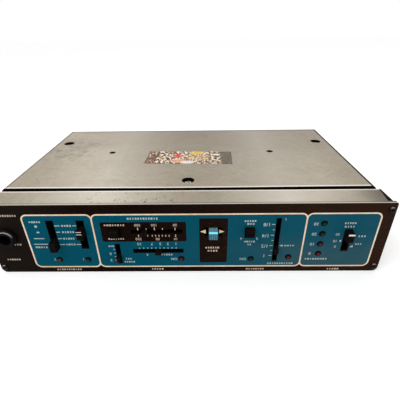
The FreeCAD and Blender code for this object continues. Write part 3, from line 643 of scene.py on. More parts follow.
# Rows of ticks: name, first (x, z), step (x, z), count, size (w, h)
TICK_ROWS = (
    ("time_ticks_long", (-26.0, 29.9), (8.9, 0.0), 2, (0.50, 1.7)),
    ("time_ticks_short", (-21.5, 29.8), (8.7, 0.0), 2, (0.45, 1.0)),
    ("time_tick_last", (-6.1, 29.8), (1.0, 0.0), 1, (0.50, 1.7)),
    ("rate_ticks_wide", (-26.0, 25.5), (4.9, 0.0), 2, (0.50, 1.2)),
    ("rate_ticks_close", (-18.6, 25.4), (1.82, 0.0), 6, (0.45, 1.1)),
    ("rate_tick_last", (-6.0, 25.4), (1.0, 0.0), 1, (0.50, 1.6)),
    ("feedback_ticks", (-26.3, 17.1), (2.244, 0.0), 10, (0.55, 0.75)),
    ("level_ticks", (-40.5, 16.3), (0.0, -2.55), 4, (1.0, 0.45)),
    ("sweep_ticks_long", (46.0, 32.3), (0.0, -6.93), 4, (1.7, 0.42)),
    ("sweep_ticks_short", (46.4, 28.8), (0.0, -6.93), 3, (1.0, 0.42)),
)

# Short bars beside the stops of the output switches
STOP_DASHES = (
    ("dash_a_1", (-68.8, 32.15), 2.8), ("dash_b_1", (-59.5, 32.15), 1.9),
    ("dash_a_2", (-69.0, 28.10), 2.1), ("dash_a_3", (-69.0, 23.80), 2.2),
    ("dash_a_4", (-68.6, 19.85), 2.7), ("dash_b_4", (-59.4, 19.85), 2.5),
    ("dash_pan_3", (-80.4, 23.90), 5.8), ("dash_pan_4", (-80.3, 20.10), 7.8),
)

# Where the unit has a word, a row of plain blocks marks the place: low x, high x, z, height
BLOCK_ROWS = (
    ("blocks_pan", -83.4, -77.0, 34.60, 1.15), ("blocks_mono", -84.0, -77.0, 18.00, 1.15),
    ("blocks_stop_1", -66.7, -61.0, 32.15, 1.25), ("blocks_stop_2", -67.1, -60.2, 28.10, 1.25),
    ("blocks_stop_3", -67.4, -60.8, 23.80, 1.25), ("blocks_stop_4", -66.8, -61.2, 19.85, 1.25),
    ("blocks_time", -31.2, -14.6, 36.40, 1.35),
    ("blocks_drive", -43.6, -40.2, 18.50, 1.15),
    ("blocks_mix_1", -35.2, -31.4, 9.60, 1.15), ("blocks_mix_2", -36.0, -29.9, 7.40, 1.15),
    ("blocks_return", -14.9, -8.2, 12.50, 1.15),
    ("blocks_depth_1", 30.4, 36.9, 34.50, 1.15), ("blocks_depth_2", 31.9, 36.1, 32.70, 1.15),
    ("blocks_depth_3", 30.9, 37.0, 21.20, 1.15), ("blocks_depth_4", 32.7, 35.2, 19.20, 1.15),
    ("blocks_sweep", 44.7, 59.4, 5.85, 1.15), ("blocks_slow", 52.8, 58.7, 18.35, 1.05),
    ("blocks_head", 65.4, 78.1, 9.00, 1.15),
    ("blocks_in_1", 82.8, 89.3, 32.80, 1.15), ("blocks_in_2", 83.2, 88.9, 30.60, 1.15),
    ("blocks_in_3", 91.7, 96.2, 24.35, 1.10), ("blocks_in_4", 91.2, 95.1, 19.15, 1.10),
)
CREAM_BLOCK_ROWS = (
    ("blocks_inset_1", -44.0, -32.6, 32.35, 1.15), ("blocks_inset_2", -42.8, -33.9, 23.45, 1.10),
    ("blocks_mode_1", 9.8, 17.7, 17.20, 1.25), ("blocks_mode_2", 11.0, 16.9, 15.05, 1.25),
    ("blocks_under_1", -75.8, -61.3, 1.95, 1.10), ("blocks_under_2", -21.1, -13.9, 2.05, 1.10),
    ("blocks_under_3", 33.0, 43.5, 1.85, 1.10), ("blocks_under_4", 79.0, 86.1, 1.65, 1.10),
    ("blocks_jack_1", -97.6, -88.6, 38.60, 1.25), ("blocks_jack_2", -95.5, -91.1, 19.90, 1.15),
    ("blocks_jack_3", -102.6, -94.7, 9.40, 1.15),
)

# Numbers: text, x, z, height; they read with the unit the other way up
NUMBERS = (
    ("10", -26.1, 20.0, 1.7), ("7", -19.3, 20.0, 1.7), ("5", -14.7, 20.0, 1.7),
    ("3", -10.5, 20.0, 1.7), ("1", -6.1, 20.0, 1.7),
    ("8", -43.0, 13.3, 1.7), ("2", -43.2, 8.6, 1.7),
    ("1/8", 42.6, 32.3, 2.1), ("1/4", 42.4, 25.1, 2.1), ("1/2", 42.5, 18.2, 2.1),
    ("1", 42.6, 11.4, 2.1),
    ("30", 68.3, 32.5, 1.8), ("20", 68.2, 26.0, 1.8), ("10", 68.2, 19.4, 1.8), ("0", 67.8, 12.9, 1.8),
    ("2", -75.1, 9.3, 1.5), ("1", -59.0, 9.4, 1.5), ("6", -22.4, 12.4, 1.5),
    ("20", 80.8, 25.7, 1.5), ("10", 80.2, 21.3, 1.5), ("0", 80.8, 17.6, 1.5),
    ("ON", -7.6, 9.4, 1.6), ("ON", 31.0, 9.25, 1.6), ("4", 29.4, 23.3, 1.5), ("2", 37.9, 23.2, 1.5),
    ("1", 52.0, 35.6, 1.5),
)
CREAM_NUMBERS = (
    ("500", -26.0, 32.35, 1.5), ("100", -17.1, 32.35, 1.5), ("20", -6.0, 32.35, 1.5),
    ("250", -26.2, 23.35, 1.5), ("50", -15.8, 23.3, 1.5), ("10", -6.0, 23.3, 1.5),
)

# Arrows are corner points (x, z), and dots are x, z and radius
CREAM_ARROWS = (((7.3, 27.95), (10.25, 26.7), (10.25, 29.2)),
                ((20.2, 27.95), (17.4, 29.1), (17.4, 26.8)))
PALE_ARROWS = (((50.3, 18.35), (52.2, 17.6), (52.2, 19.1)), ((88.6, 17.0), (90.6, 17.0), (90.3, 18.6)),
               ((-81.0, 27.6), (-79.0, 27.6), (-79.9, 28.8)))
PALE_DOTS = ((-80.2, 31.8, 0.75), (83.0, 21.3, 0.55))
DASH_HEIGHT = 0.5
BLOCK_PITCH = 1.35          # middle to middle of the plain blocks
BLOCK_FILL = 0.62           # block's width against that pitch
BLOCK_UNEVENNESS = 0.42
LETTER_SHARE = 0.7          # a capital's height against the size of its letter
LETTER_SPACE = 1.05
LETTER_WEIGHT = 0.03 * MM   # how far a letter's outline is spread


def rounded_loop(x0, x1, z0, z1, r, steps=8):
    """Corner points of a rounded rectangle, anticlockwise from its low right corner."""
    loop = []
    for cx, cz, start in ((x1 - r, z0 + r, -90), (x1 - r, z1 - r, 0),
                          (x0 + r, z1 - r, 90), (x0 + r, z0 + r, 180)):
        for i in range(steps + 1):
            a = math.radians(start + 90 * i / steps)
            loop.append((cx + r * math.cos(a), cz + r * math.sin(a)))
    return loop


def round_loop(x, z, r, steps):
    """Corner points of a circle."""
    return rounded_loop(x - r, x + r, z - r, z + r, r, steps)


def stripe_loops(width, corner):
    """The stripe's outer edge, notched between zones, and the inner edge of each zone."""
    half = width / 2
    outer_r = corner + half
    drop = corner - math.sqrt(outer_r ** 2 - corner ** 2)
    near = 1e-6
    z0, z1 = ZONE_Z
    lower_edge, upper_edge = [], []
    for index, (x0, x1) in enumerate(ZONES):
        loop = rounded_loop(x0 - half, x1 + half, z0 - half, z1 + half, outer_r)
        quarter = len(loop) // 4
        low_right, high_right, high_left, low_left = [loop[i * quarter:(i + 1) * quarter]
                                                      for i in range(4)]
        if index > 0:
            high_left = [p for p in high_left if p[0] > x0 + near] + [(x0, z1 - drop)]
            low_left = [(x0, z0 + drop)] + [p for p in low_left if p[0] > x0 + near]
        if index < len(ZONES) - 1:
            low_right = [p for p in low_right if p[0] < x1 - near]
            high_right = [p for p in high_right if p[0] < x1 - near]
        lower_edge += low_left + low_right
        upper_edge = high_right + high_left + upper_edge
    inner = [rounded_loop(x0 + half, x1 - half, z0 + half, z1 - half, corner - half)
             for x0, x1 in ZONES]
    return [lower_edge + upper_edge] + inner


def number_mesh(text, x, z, height, film):
    """One printed number, turned over with the rest of the print."""
    curve = bpy.data.curves.new("number", "FONT")
    curve.body = text
    curve.size = height * MM / LETTER_SHARE
    curve.align_x, curve.align_y = "CENTER", "CENTER"
    curve.space_character = LETTER_SPACE
    curve.offset = LETTER_WEIGHT
    curve.resolution_u = 3
    curve.extrude = film / 2
    return flat_mesh("number", curve, Matrix.Translation((x * MM, 0, z * MM)) @ panel_matrix(True)
                     @ Matrix.Translation((0, 0, film / 2)))


# ---------------------------------------------------------------- materials
# Tones of wear, of painted light and shade, and of parts that have no setting of their own
STRIPE_ORANGE, STRIPE_PALE = (0.900, 0.500, 0.250), (1.000, 0.900, 0.740)
ZONE_DUST, ZONE_FLECK = (0.060, 0.110, 0.124), (0.001, 0.100, 0.150)
BASE_FLECK, BASE_SCRATCH = (0.024, 0.010, 0.006), (0.16, 0.15, 0.14)
BASE_RIGHT, BASE_LEFT = (0.0260, 0.0120, 0.0070), (0.0095, 0.0064, 0.0048)
PANEL_EDGE = (0.640, 0.590, 0.510)
# The second tone is painted shade: the metal darkens towards its rear
METAL_ROSY, METAL_REAR_SHADE = (0.400, 0.325, 0.262), (0.190, 0.158, 0.118)
METAL_SPECK, METAL_SCRATCH, METAL_PIT = (0.07, 0.055, 0.045), (0.12, 0.10, 0.085), (0.060, 0.045, 0.032)
# Painted light on the metal: the first tone is a painted reflection in bands, the second a painted
# highlight along sharp edges, and the third darkens bands: painted shade at the frame's right end and at
# the step behind the panel, and a darker band along the cover's rear edge
PAINTED_SHEEN, PAINTED_EDGE_GLINT, DARK_BAND_TONE = (0.78, 0.74, 0.66), (0.96, 0.90, 0.80), (0.10, 0.085, 0.07)
# The first black is painted on the metal: in the frame's groove, as painted shade in the cover's cups,
# bends and front face, and as a painted dark reflection at the frame's ends
PAINT_AND_SHADE_BLACK, CAN_BLACK = (0.004, 0.0030, 0.0025), (0.003, 0.0026, 0.0024)
# The second tone is a painted highlight: the arc of light on the front jack's rim
JACK_BLACK, JACK_GLINT = (0.0035, 0.003, 0.0028), (0.560, 0.550, 0.530)
RIM_BLACK = (0.0025, 0.0022, 0.0020)

# Stains on the foil: middle (x, y) from its own middle, half width and depth, strength, colour
FOIL_STAINS = (
    ((-8.0, 3.4), (2.2, 5.4), 0.92, (0.660, 0.090, 0.055)),
    ((-7.2, -6.3), (3.8, 3.0), 0.85, (0.860, 0.400, 0.240)),
    ((-0.8, -9.0), (3.4, 2.4), 0.90, (0.900, 0.880, 0.840)),
    ((5.2, 8.6), (4.2, 2.8), 0.95, (0.860, 0.560, 0.060)),
    ((5.5, 0.0), (6.5, 4.0), 0.45, (0.740, 0.480, 0.220)),
    ((14.0, -9.0), (9.0, 2.0), 0.55, (0.280, 0.180, 0.120)),
)

SMUDGE_PLACE = (PLATE_LOW.x + 19 * MM, PLATE_HIGH.y - 44 * MM, PLATE_HIGH.z)
SMUDGE_REACH = 34 * MM
GROOVE_Y = FRAME_HIGH.y - 9.5 * MM        # front of the frame's painted groove
JOINT_Y = PANEL_HIGH.y + 0.6 * MM         # the dark joint behind the panel, deepened as painted shade of the step there
WIRE_PITCH = 1.27 * MM                    # of the ribbon cable
JACK_RIM = 4.75 * MM                      # radius of the painted highlight arc on the front jack's rim


def layered(tone, *layers):
    """Lays colours over a colour in turn; each layer is (strength, colour)."""
    for strength, over in layers:
        tone = blend(strength, tone, over)
    return tone


def ink_material(name, ink, wear):
    """Screen-printed ink, thin in places."""
    finish = Finish(name)
    thin = remap(speckled(finish.place, 0.5 * MM), 0.35, 0.7) * wear
    worn = (thin + cloud(finish.place, 9 * MM) * (wear * 0.6)).clamped()
    return finish.feed(Base_Color=blend(worn, ink, shade(ink, 0.45)), Roughness=0.55,
                       Specular_IOR_Level=0.15)


def stripe_material(settings):
    """Cream ink, paler and more orange in places."""
    finish = Finish("stripe_ink")
    tone = layered(settings.stripe,
                   (remap(speckled(finish.place, 2.5 * MM), 0.35, 0.7), STRIPE_PALE),
                   (cloud(finish.place, 30 * MM) * 0.5, STRIPE_ORANGE))
    return finish.feed(Base_Color=tone, Roughness=0.5, Specular_IOR_Level=0.15)


def panel_paint():
    """Brown-black paint, blue-green zones and two dark insets, on the front face only."""
    settings = bpy.context.scene.unit_print
    finish = Finish("panel_paint")
    place = finish.place
    x, y, z = place.axes()
    _, facing, upward = finish.normal.axes()

    def inside(x0, x1, z0, z1, corner):
        """1 inside a rounded rectangle that is given in millimetres."""
        return zone_distance(place, x0 * MM, x1 * MM, z0 * MM, z1 * MM, corner) < 0.0

    zones = higher(*[inside(*ends, *ZONE_Z, settings.corner) for ends in ZONES])
    insets = higher(*[inside(*box, INSET_CORNER * MM) for box in (TIME_INSET, MODE_INSET)])
    painted = (zones - insets).clamped() * (facing < -0.9)
    speckle = speckled(place, 0.9 * MM)
    right = remap(x, -30 * MM, 110 * MM)
    dusty = right * (0.45 + cloud(place, 45 * MM) * 0.5) * remap(z, 30 * MM, 8 * MM, 0.2, 1.0)
    zone = layered(settings.zone, (dusty, ZONE_DUST), (remap(speckle, 0.3, 0.7) * 0.35, ZONE_FLECK))
    edge = (upward > 0.9) * (z > PANEL_HIGH.z - 0.3 * MM) * (y > FACE_Y + 0.95 * MM)
    tone = layered(settings.base, (remap(speckle, 0.3, 0.75) * 0.35, BASE_FLECK), (right, BASE_RIGHT),
                   (remap(x, -55 * MM, -85 * MM), BASE_LEFT), (painted, zone),
                   (scratches(place, 26 * MM, 0.4) * 0.18, BASE_SCRATCH), (edge, PANEL_EDGE))
    return finish.feed(Base_Color=tone, Metallic=edge * 0.6, Roughness=0.46 + speckle * 0.2,
                       Specular_IOR_Level=0.02, Normal=bump(speckle, 0.12, 0.05 * MM))


def sheet_metal(name, bands=(), finished=None):
    """Bare aluminium: brushed grain, clouds of stain, specks and scratches, with painted shade towards
    its right end and its rear.

    bands are strips along an axis that are painted brighter or darker, as painted reflections
    and painted shade: (axis, middle, half width, strength, colour). finished(x, y, z) gives two
    masks: black, which is painted shade in most places, and a painted highlight along a sharp edge.
    """
    metal = bpy.context.scene.unit_metal
    finish = Finish(name)
    place = finish.place
    x, y, z = along = place.axes()
    grain, height = brushed(place, metal.grain)
    broad = cloud(place, 38 * MM)
    fine, specks = stains(place, 11 * MM)
    pitted = (remap(x, -62 * MM, -40 * MM) * remap(x, 8 * MM, -18 * MM)
              * remap(y, PLATE_LOW.y + 6 * MM, PLATE_LOW.y - 2 * MM))
    tone = layered(
        metal.sheet, (grain * 0.5, shade(metal.sheet, 1.16)), (broad * 0.06, metal.sheet_stain_and_shade),
        (fine * 0.13, metal.sheet_stain_and_shade), (cloud(place, 2.6 * MM) * 0.30, metal.sheet_stain_and_shade),
        (cloud(place, 17 * MM) * 0.5, METAL_ROSY),
        # painted shade: darker towards the right end
        (remap(x, 80 * MM, 108 * MM) * 0.25, metal.sheet_stain_and_shade),
        # painted shade: darker towards the rear
        (remap(y, PLATE_LOW.y, PLATE_HIGH.y) * 0.38, METAL_REAR_SHADE),
        (smudged(place, SMUDGE_PLACE, SMUDGE_REACH) * 0.95, metal.sheet_stain_and_shade),
        (specks * 0.55, METAL_SPECK), (scratches(place, 40 * MM, 0.9) * 0.40, METAL_SCRATCH),
        *[(band(along[axis], middle, width) * strength, over)
          for axis, middle, width, strength, over in bands],
        (pits(place, 0.75 * MM, 0.045) * (pitted * 0.75), METAL_PIT))
    rough = 0.40 + grain * 0.10 + broad * 0.05
    finish.feed(Specular_IOR_Level=0.05, Normal=bump(height, 0.10, 0.02 * MM))
    if not finished:
        return finish.feed(Base_Color=tone, Metallic=0.82, Roughness=rough)
    # black is painted shade in most places, and edge is a painted highlight
    black, edge = finished(x, y, z)
    dull = higher(black, edge * 0.75)
    return finish.feed(Base_Color=layered(tone, (edge, PAINTED_EDGE_GLINT), (black, PAINT_AND_SHADE_BLACK)),
                       Metallic=(1.0 - dull).clamped() * 0.82,
                       Roughness=(rough + black * 0.6).clamped())


def frame_metal():
    """The casting: worn like the sheet, black paint in the groove, black at its ends as a painted dark
    reflection, and a painted highlight just in front of the groove.
    """
    # Bands: painted reflections of the lights at x -48 and 54 mm, painted shade at the right end, and
    # the dark joint line behind the panel, deepened as painted shade of the step
    bands = ((0, -48 * MM, 46 * MM, 0.42, PAINTED_SHEEN), (0, 54 * MM, 42 * MM, 0.52, PAINTED_SHEEN),
             (0, 106 * MM, 14 * MM, 0.85, DARK_BAND_TONE), (1, JOINT_Y, 0.7 * MM, 0.75, DARK_BAND_TONE))

    def finished(x, y, z):
        # Black behind the groove's front; black at the ends as a painted dark reflection; a painted
        # highlight just in front of the groove
        ahead = remap(y, GROOVE_Y, PANEL_HIGH.y, 0.0, 1.6 * MM)
        end = (remap(abs(x) + ahead, WALL_X - 1.9 * MM, WALL_X - 1.1 * MM)
               * remap(x, -20 * MM, 20 * MM, 0.35, 0.97)
               * remap(z, FRAME_HIGH.z - 3.6 * MM, FRAME_HIGH.z - 2.0 * MM))
        black = higher(y > GROOVE_Y, end * (y > PANEL_HIGH.y + 1.5 * MM))
        return black, band(y, GROOVE_Y - 0.6 * MM, 0.9 * MM) * 0.8
    return sheet_metal("frame_metal", bands, finished)


def cover_metal():
    """The underside sheet: a painted highlight along its front edge, and painted shade: black on its
    front face, in its cups and along its bends.
    """
    # Bands: painted reflections of the lights at x -50 and 52 mm, and a darker band along the rear edge
    bands = ((0, -50 * MM, 40 * MM, 0.20, PAINTED_SHEEN), (0, 52 * MM, 40 * MM, 0.22, PAINTED_SHEEN),
             (1, PLATE_HIGH.y - 0.6 * MM, 2.2 * MM, 0.95, DARK_BAND_TONE))

    def finished(x, y, z):
        # Painted shade: black on the front face and in a band behind it that widens towards the ends, in
        # the cups and under the sheet, and along the side bends; a painted highlight along the front
        # edge
        far = abs(x)
        front_shade_y = remap(far, 0.0, PLATE_HIGH.x, PLATE_LOW.y + 0.25 * MM, PLATE_LOW.y + 0.95 * MM)
        cup_shade = (z < PLATE_HIGH.z - 0.12 * MM) * (far < PLATE_HIGH.x - 2.5 * MM)
        bend_shade = (remap(far, PLATE_HIGH.x - 2.7 * MM, PLATE_HIGH.x - 2.1 * MM)
                * remap(z, PLATE_HIGH.z - 2.2 * MM, PLATE_HIGH.z - 1.1 * MM))
        black = higher(y < front_shade_y, cup_shade, bend_shade * remap(x, -20 * MM, 20 * MM, 0.35, 0.88))
        return black, band(y, front_shade_y + 0.6 * MM, 1.25 * MM)
    return sheet_metal("cover_metal", bands, finished)


def plated_metal(name, tone, rough, wear=0.3):
    """Plated or bare metal with a fine speckle of wear."""
    finish = Finish(name)
    speckle = speckled(finish.place, 0.35 * MM)
    return finish.feed(Base_Color=blend(cloud(finish.place, 3 * MM) * wear, tone, shade(tone, 0.45)),
                       Metallic=1.0, Roughness=rough + speckle * 0.16,
                       Specular_IOR_Level=0.25, Normal=bump(speckle, 0.08, 0.02 * MM))


def black_with_glint(name, black, worn, toward):
    """Blackened steel with a painted highlight, of the colour worn, on the side that faces toward."""
    finish = Finish(name)
    speckle = speckled(finish.place, 0.35 * MM)
    facing = finish.normal.vector("DOT_PRODUCT", toward, output="Value")
    # painted highlight where the surface faces toward
    top = remap(facing + speckle * 0.06, 0.82, 0.96)
    return finish.feed(Base_Color=blend(top, black, worn), Metallic=top * 0.4,
                       Roughness=0.34 + speckle * 0.16, Specular_IOR_Level=0.1,
                       Normal=bump(speckle, 0.08, 0.02 * MM))


def moulded(name, tone, rough=0.4, specular=0.3, wear=0.25, worn=None):
    """Moulded plastic, card or ceramic with a fine texture; worn(finish, colour) changes its colour."""
    finish = Finish(name)
    speckle = speckled(finish.place, 0.4 * MM)
    mixed = blend(cloud(finish.place, 6 * MM) * wear, tone, shade(tone, 1.4, 0.002))
    return finish.feed(Base_Color=worn(finish, mixed) if worn else mixed,
                       Specular_IOR_Level=specular, Roughness=rough + speckle * 0.15,
                       Normal=bump(speckle, 0.15, 0.02 * MM))


def jack_rim_glint(finish, tone):
    """A painted highlight: a grey arc round the upper side of the front jack's rim."""
    low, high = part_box("front_jack_nut")
    local = finish.place.vector("SUBTRACT", (low + high) / 2)
    away = local.vector("MULTIPLY", (1.0, 0.0, 1.0)).vector("LENGTH", output="Value")
    upper = remap(local.axes()[2], 0.8 * MM, 3.0 * MM)
    return blend(band(away, JACK_RIM, 0.25 * MM) * upper, tone, JACK_GLINT)


def circuit_board():
    """Green laminate with copper tracks showing through its lacquer."""
    finish = Finish("circuit_board")
    tracks = signal(finish.place.tree, "ShaderNodeTexVoronoi",
                    {"Vector": finish.place, "Scale": 1 / (4 * MM)}, "Distance",
                    feature="DISTANCE_TO_EDGE")
    track = remap(tracks, 0.08, 0.12, 1.0, 0.0)
    tone = layered((0.010, 0.090, 0.035), (track, (0.045, 0.170, 0.060)),
                   (speckled(finish.place, 0.6 * MM) * 0.2, (0.02, 0.05, 0.02)))
    return finish.feed(Base_Color=tone, Roughness=0.35, Specular_IOR_Level=0.4,
                       Normal=bump(track, 0.2, 0.04 * MM))


def ribbon_grey():
    """Grey flat cable with one line for each of its wires: the creases between them are painted darker,
    as shade.
    """
    finish = Finish("ribbon_grey")
    ridge = remap((finish.place.axes()[0] * (2 * math.pi / WIRE_PITCH)).maths("SINE"), -0.9, -0.4)
    return finish.feed(Base_Color=blend(ridge, (0.16, 0.16, 0.17), (0.34, 0.34, 0.35)),
                       Roughness=0.45, Normal=bump(ridge, 0.3, 0.1 * MM))


def lens_material(name, tone):
    """Unlit tinted lens with painted light: dark at its rim as painted shade, with the tint painted
    glowing in its middle.
    """
    finish = Finish(name)
    # painted light: bright tint where the lens faces forward, dark towards its rim
    middle = remap(finish.normal.axes()[1] * -1.0, 0.90, 0.995)
    dark = shade(tone, 0.02)
    tinted = layered(dark, (middle, tone), (speckled(finish.place, 0.3 * MM) * 0.25, dark))
    return finish.feed(Base_Color=tinted, Roughness=0.12, Specular_IOR_Level=0.06)


def foil_material(centre):
    """Worn foil: pale crumbs over brown and black, stains of colour, one end rubbed grey."""
    finish = Finish("worn_foil")
    local = finish.place.vector("SUBTRACT", centre)
    crumbled = local.vector("MULTIPLY", (1.0, 0.62, 1.0))
    coarse, crumbs, flecks = [
        noise(vector, 1 / (size * MM), detail, Roughness=0.6)
        for vector, size, detail in ((local, 8.0, 3.0), (crumbled, 1.9, 2.0), (crumbled, 0.9, 1.0))]
    x, y, _ = local.axes()
    ground = layered((0.022, 0.017, 0.013), (remap(coarse, 0.40, 0.60), (0.230, 0.105, 0.065)),
                     (remap(flecks, 0.50, 0.62), (0.400, 0.270, 0.170)))
    pale = blend(remap(coarse, 0.42, 0.58), (0.900, 0.860, 0.760), (0.880, 0.700, 0.480))
    brown_end = remap(x, -20.5 * MM, -23.5 * MM)
    tone = blend(remap(crumbs - brown_end * 0.09, 0.500, 0.535), ground, pale)
    for at, size, strength, over in FOIL_STAINS:
        reach = higher(abs(x - at[0] * MM) / (size[0] * MM), abs(y - at[1] * MM) / (size[1] * MM))
        ragged = reach + (crumbs - 0.5) * 3.0
        tone = blend(remap(ragged, 1.15, 0.75) * strength, tone, over)
    bare = blend(flecks, (0.080, 0.065, 0.050), (0.210, 0.180, 0.140))
    tone = blend(remap(x, 20.5 * MM, 23.0 * MM) * 0.92, tone, bare)
    return finish.feed(Base_Color=tone, Metallic=0.05, Roughness=0.6, Specular_IOR_Level=0.15,
                       Normal=bump(crumbs, 0.4, 0.08 * MM))


def seen_by_eye(tree):
    """1 where the camera, a mirror or a clear part sees the surface."""
    path = add(tree, "ShaderNodeLightPath").outputs
    return higher(*[Signal(path[f"Is {kind} Ray"]) for kind in ("Camera", "Glossy", "Transmission")])


def floor_material(tone, glow):
    """Plain pale floor, lifted to white where it is seen, that keeps the unit's shadow."""
    finish = Finish("floor")
    speckle = speckled(finish.place, 4 * MM)
    return finish.feed(Base_Color=blend(speckle, tone, shade(tone, 0.985)), Roughness=0.9,
                       Specular_IOR_Level=0.1, Emission_Color=(1.0, 1.0, 1.0),
                       Emission_Strength=seen_by_eye(finish.place.tree) * glow)


# ---------------------------------------------------------------- operators
class UnitOperator(bpy.types.Operator):
    """Shared options of every step."""
    bl_options = {"REGISTER", "UNDO"}


class UNIT_OT_effects(UnitOperator):
    """Build the shader effects and geometry node trees that the other steps share"""
    bl_idname = "unit.effects"
    bl_label = "Shared effects"

    def execute(self, context):
        for build in (*EFFECTS, make_mark_row_tree, make_copies_tree):
            build()
        return {"FINISHED"}


# Soft lights that face the unit: name, place, (width, height), the setting that gives their
# power, and their share of it
LIGHTS = (
    ("key_light", (-0.45, -0.42, 0.78), (0.45, 0.45), "key", 1.0),
    ("left_strip", (-0.52, 1.10, 0.70), (0.22, 0.70), "strips", 0.6),
    ("right_strip", (0.55, 1.10, 0.72), (0.10, 0.50), "strips", 0.25),
)


class UNIT_OT_stage(UnitOperator):
    """Set the floor, the soft light, the pale room and the camera"""
    bl_idname = "unit.stage"
    bl_label = "Stage"

    def execute(self, context):
        stage = context.scene.unit_stage
        half = stage.floor_size / 2
        mesh = bpy.data.meshes.new("floor")
        mesh.from_pydata([(-half, -half, 0), (half, -half, 0), (half, half, 0), (-half, half, 0)],
                         [], [(0, 1, 2, 3)])
        mesh.materials.append(floor_material(stage.floor, stage.floor_glow))
        new_object("floor", mesh)
        self.room(context.scene, stage.world)
        for name, place, (width, height), setting, part in LIGHTS:
            light = bpy.data.lights.new(name, "AREA")
            light.shape = "RECTANGLE"
            light.size, light.size_y = width, height
            light.energy = part * getattr(stage, setting)
            lamp = new_object(name, light)
            lamp.location = place
            lamp.rotation_euler = (-Vector(place)).to_track_quat("-Z", "Y").to_euler()
        self.camera(context.scene, stage)
        context.scene.view_settings.view_transform = "Standard"
        return {"FINISHED"}

    def room(self, scene, strength):
        """An even pale world that the camera and mirrors see as white."""
        scene.world = bpy.data.worlds.new("room")
        scene.world.use_nodes = True
        tree = scene.world.node_tree
        tree.nodes.clear()
        even, white = [signal(tree, "ShaderNodeBackground", {"Color": (1, 1, 1), "Strength": level})
                       for level in (strength, 1.0)]
        mixed = signal(tree, "ShaderNodeMixShader", {0: seen_by_eye(tree), 1: even, 2: white})
        add(tree, "ShaderNodeOutputWorld", {0: mixed})

    def camera(self, scene, stage):
        """The camera, where the settings place it."""
        data = bpy.data.cameras.new("camera")
        data.sensor_width = 36.0
        data.lens = stage.lens
        data.clip_start = 0.001
        scene.camera = new_object("camera", data)
        scene.camera.location = stage.camera_place
        scene.camera.rotation_euler = stage.camera_turn


class UNIT_OT_metalwork(UnitOperator):
    """Finish the covers, the cast frame and the plated hardware"""
    bl_idname = "unit.metalwork"
    bl_label = "Metalwork"

    def execute(self, context):
        metal = context.scene.unit_metal
        dress(cover_metal(), "bottom_cover")
        dress(sheet_metal("lid_metal"), "top_cover")
        dress(frame_metal(), "front_frame")
        dress(plated_metal("plated_steel", metal.steel, 0.22), "case_posts", "rear_jack_nuts",
              "power_socket_nut")
        dress(plated_metal("dull_brass", metal.brass, 0.4), "tray_nuts")
        dress(plated_metal("sink_alloy", (0.32, 0.32, 0.33), 0.45), "heat_sink")
        dress(moulded("black_steel", metal.black_steel, 0.40, 0.04, 0.0), "front_jack_nut")
        return {"FINISHED"}


class UNIT_OT_panel(UnitOperator):
    """Paint the front panel and print its stripes, marks and numbers"""
    bl_idname = "unit.panel"
    bl_label = "Panel print"

    def execute(self, context):
        settings = context.scene.unit_print
        dress(panel_paint(), "front_panel")
        stripe = stripe_material(settings)
        pale = ink_material("pale_ink", settings.mark, 0.45)
        cream = ink_material("cream_ink", settings.cream, 0.45)
        self.shape("zone_stripes", stripe_loops(settings.stripe_width / MM, settings.corner / MM),
                   stripe, settings.film)
        self.rows(settings.film, pale, cream)
        for name, table, ink in (("pale_numbers", NUMBERS, pale),
                                 ("cream_numbers", CREAM_NUMBERS, cream)):
            meshes = [number_mesh(*number, settings.film) for number in table]
            self.place(name, join_meshes(name, meshes), ink)
        dots = [round_loop(x, z, r, 5) for x, z, r in PALE_DOTS]
        for name, loops, ink in (("mode_arrows", CREAM_ARROWS, stripe),
                                 ("pale_arrows", PALE_ARROWS, pale), ("pale_dots", dots, pale)):
            self.shape(name, loops, ink, settings.film)
        return {"FINISHED"}

    def place(self, name, mesh, ink):
        """Fits a mesh to the panel as print."""
        fit_piece(name, mesh, ink, CASING)

    def shape(self, name, loops, ink, film):
        """Prints the inside of flat outlines."""
        self.place(name, flat_drawing(name, loops, film, panel_matrix()), ink)

    def rows(self, film, pale, cream):
        """Ticks, the dashes beside the stops, and the blocks that stand for words."""
        for name, first, step, count, size in TICK_ROWS:
            ink = cream if name.startswith(("time", "rate")) else pale
            self.place(name, mark_row(name, first, step, count, size, film, ink), ink)
        dashes = [mark_row(name, middle, (1, 0), 1, (width, DASH_HEIGHT), film, pale)
                  for name, middle, width in STOP_DASHES]
        self.place("stop_dashes", join_meshes("stop_dashes", dashes), pale)
        for ink, table in ((pale, BLOCK_ROWS), (cream, CREAM_BLOCK_ROWS)):
            for seed, (name, x0, x1, z, height) in enumerate(table):
                count = max(2, round((x1 - x0) / BLOCK_PITCH))
                pitch = (x1 - x0) / count
                mesh = mark_row(name, (x0 + pitch / 2, z), (pitch, 0), count,
                                (BLOCK_FILL * pitch, height), film, ink, BLOCK_UNEVENNESS, seed)
                self.place(name, mesh, ink)


LAMP_RIM = 0.30 * MM               # width of the black ring round a lamp
LENS_SIDES = 28


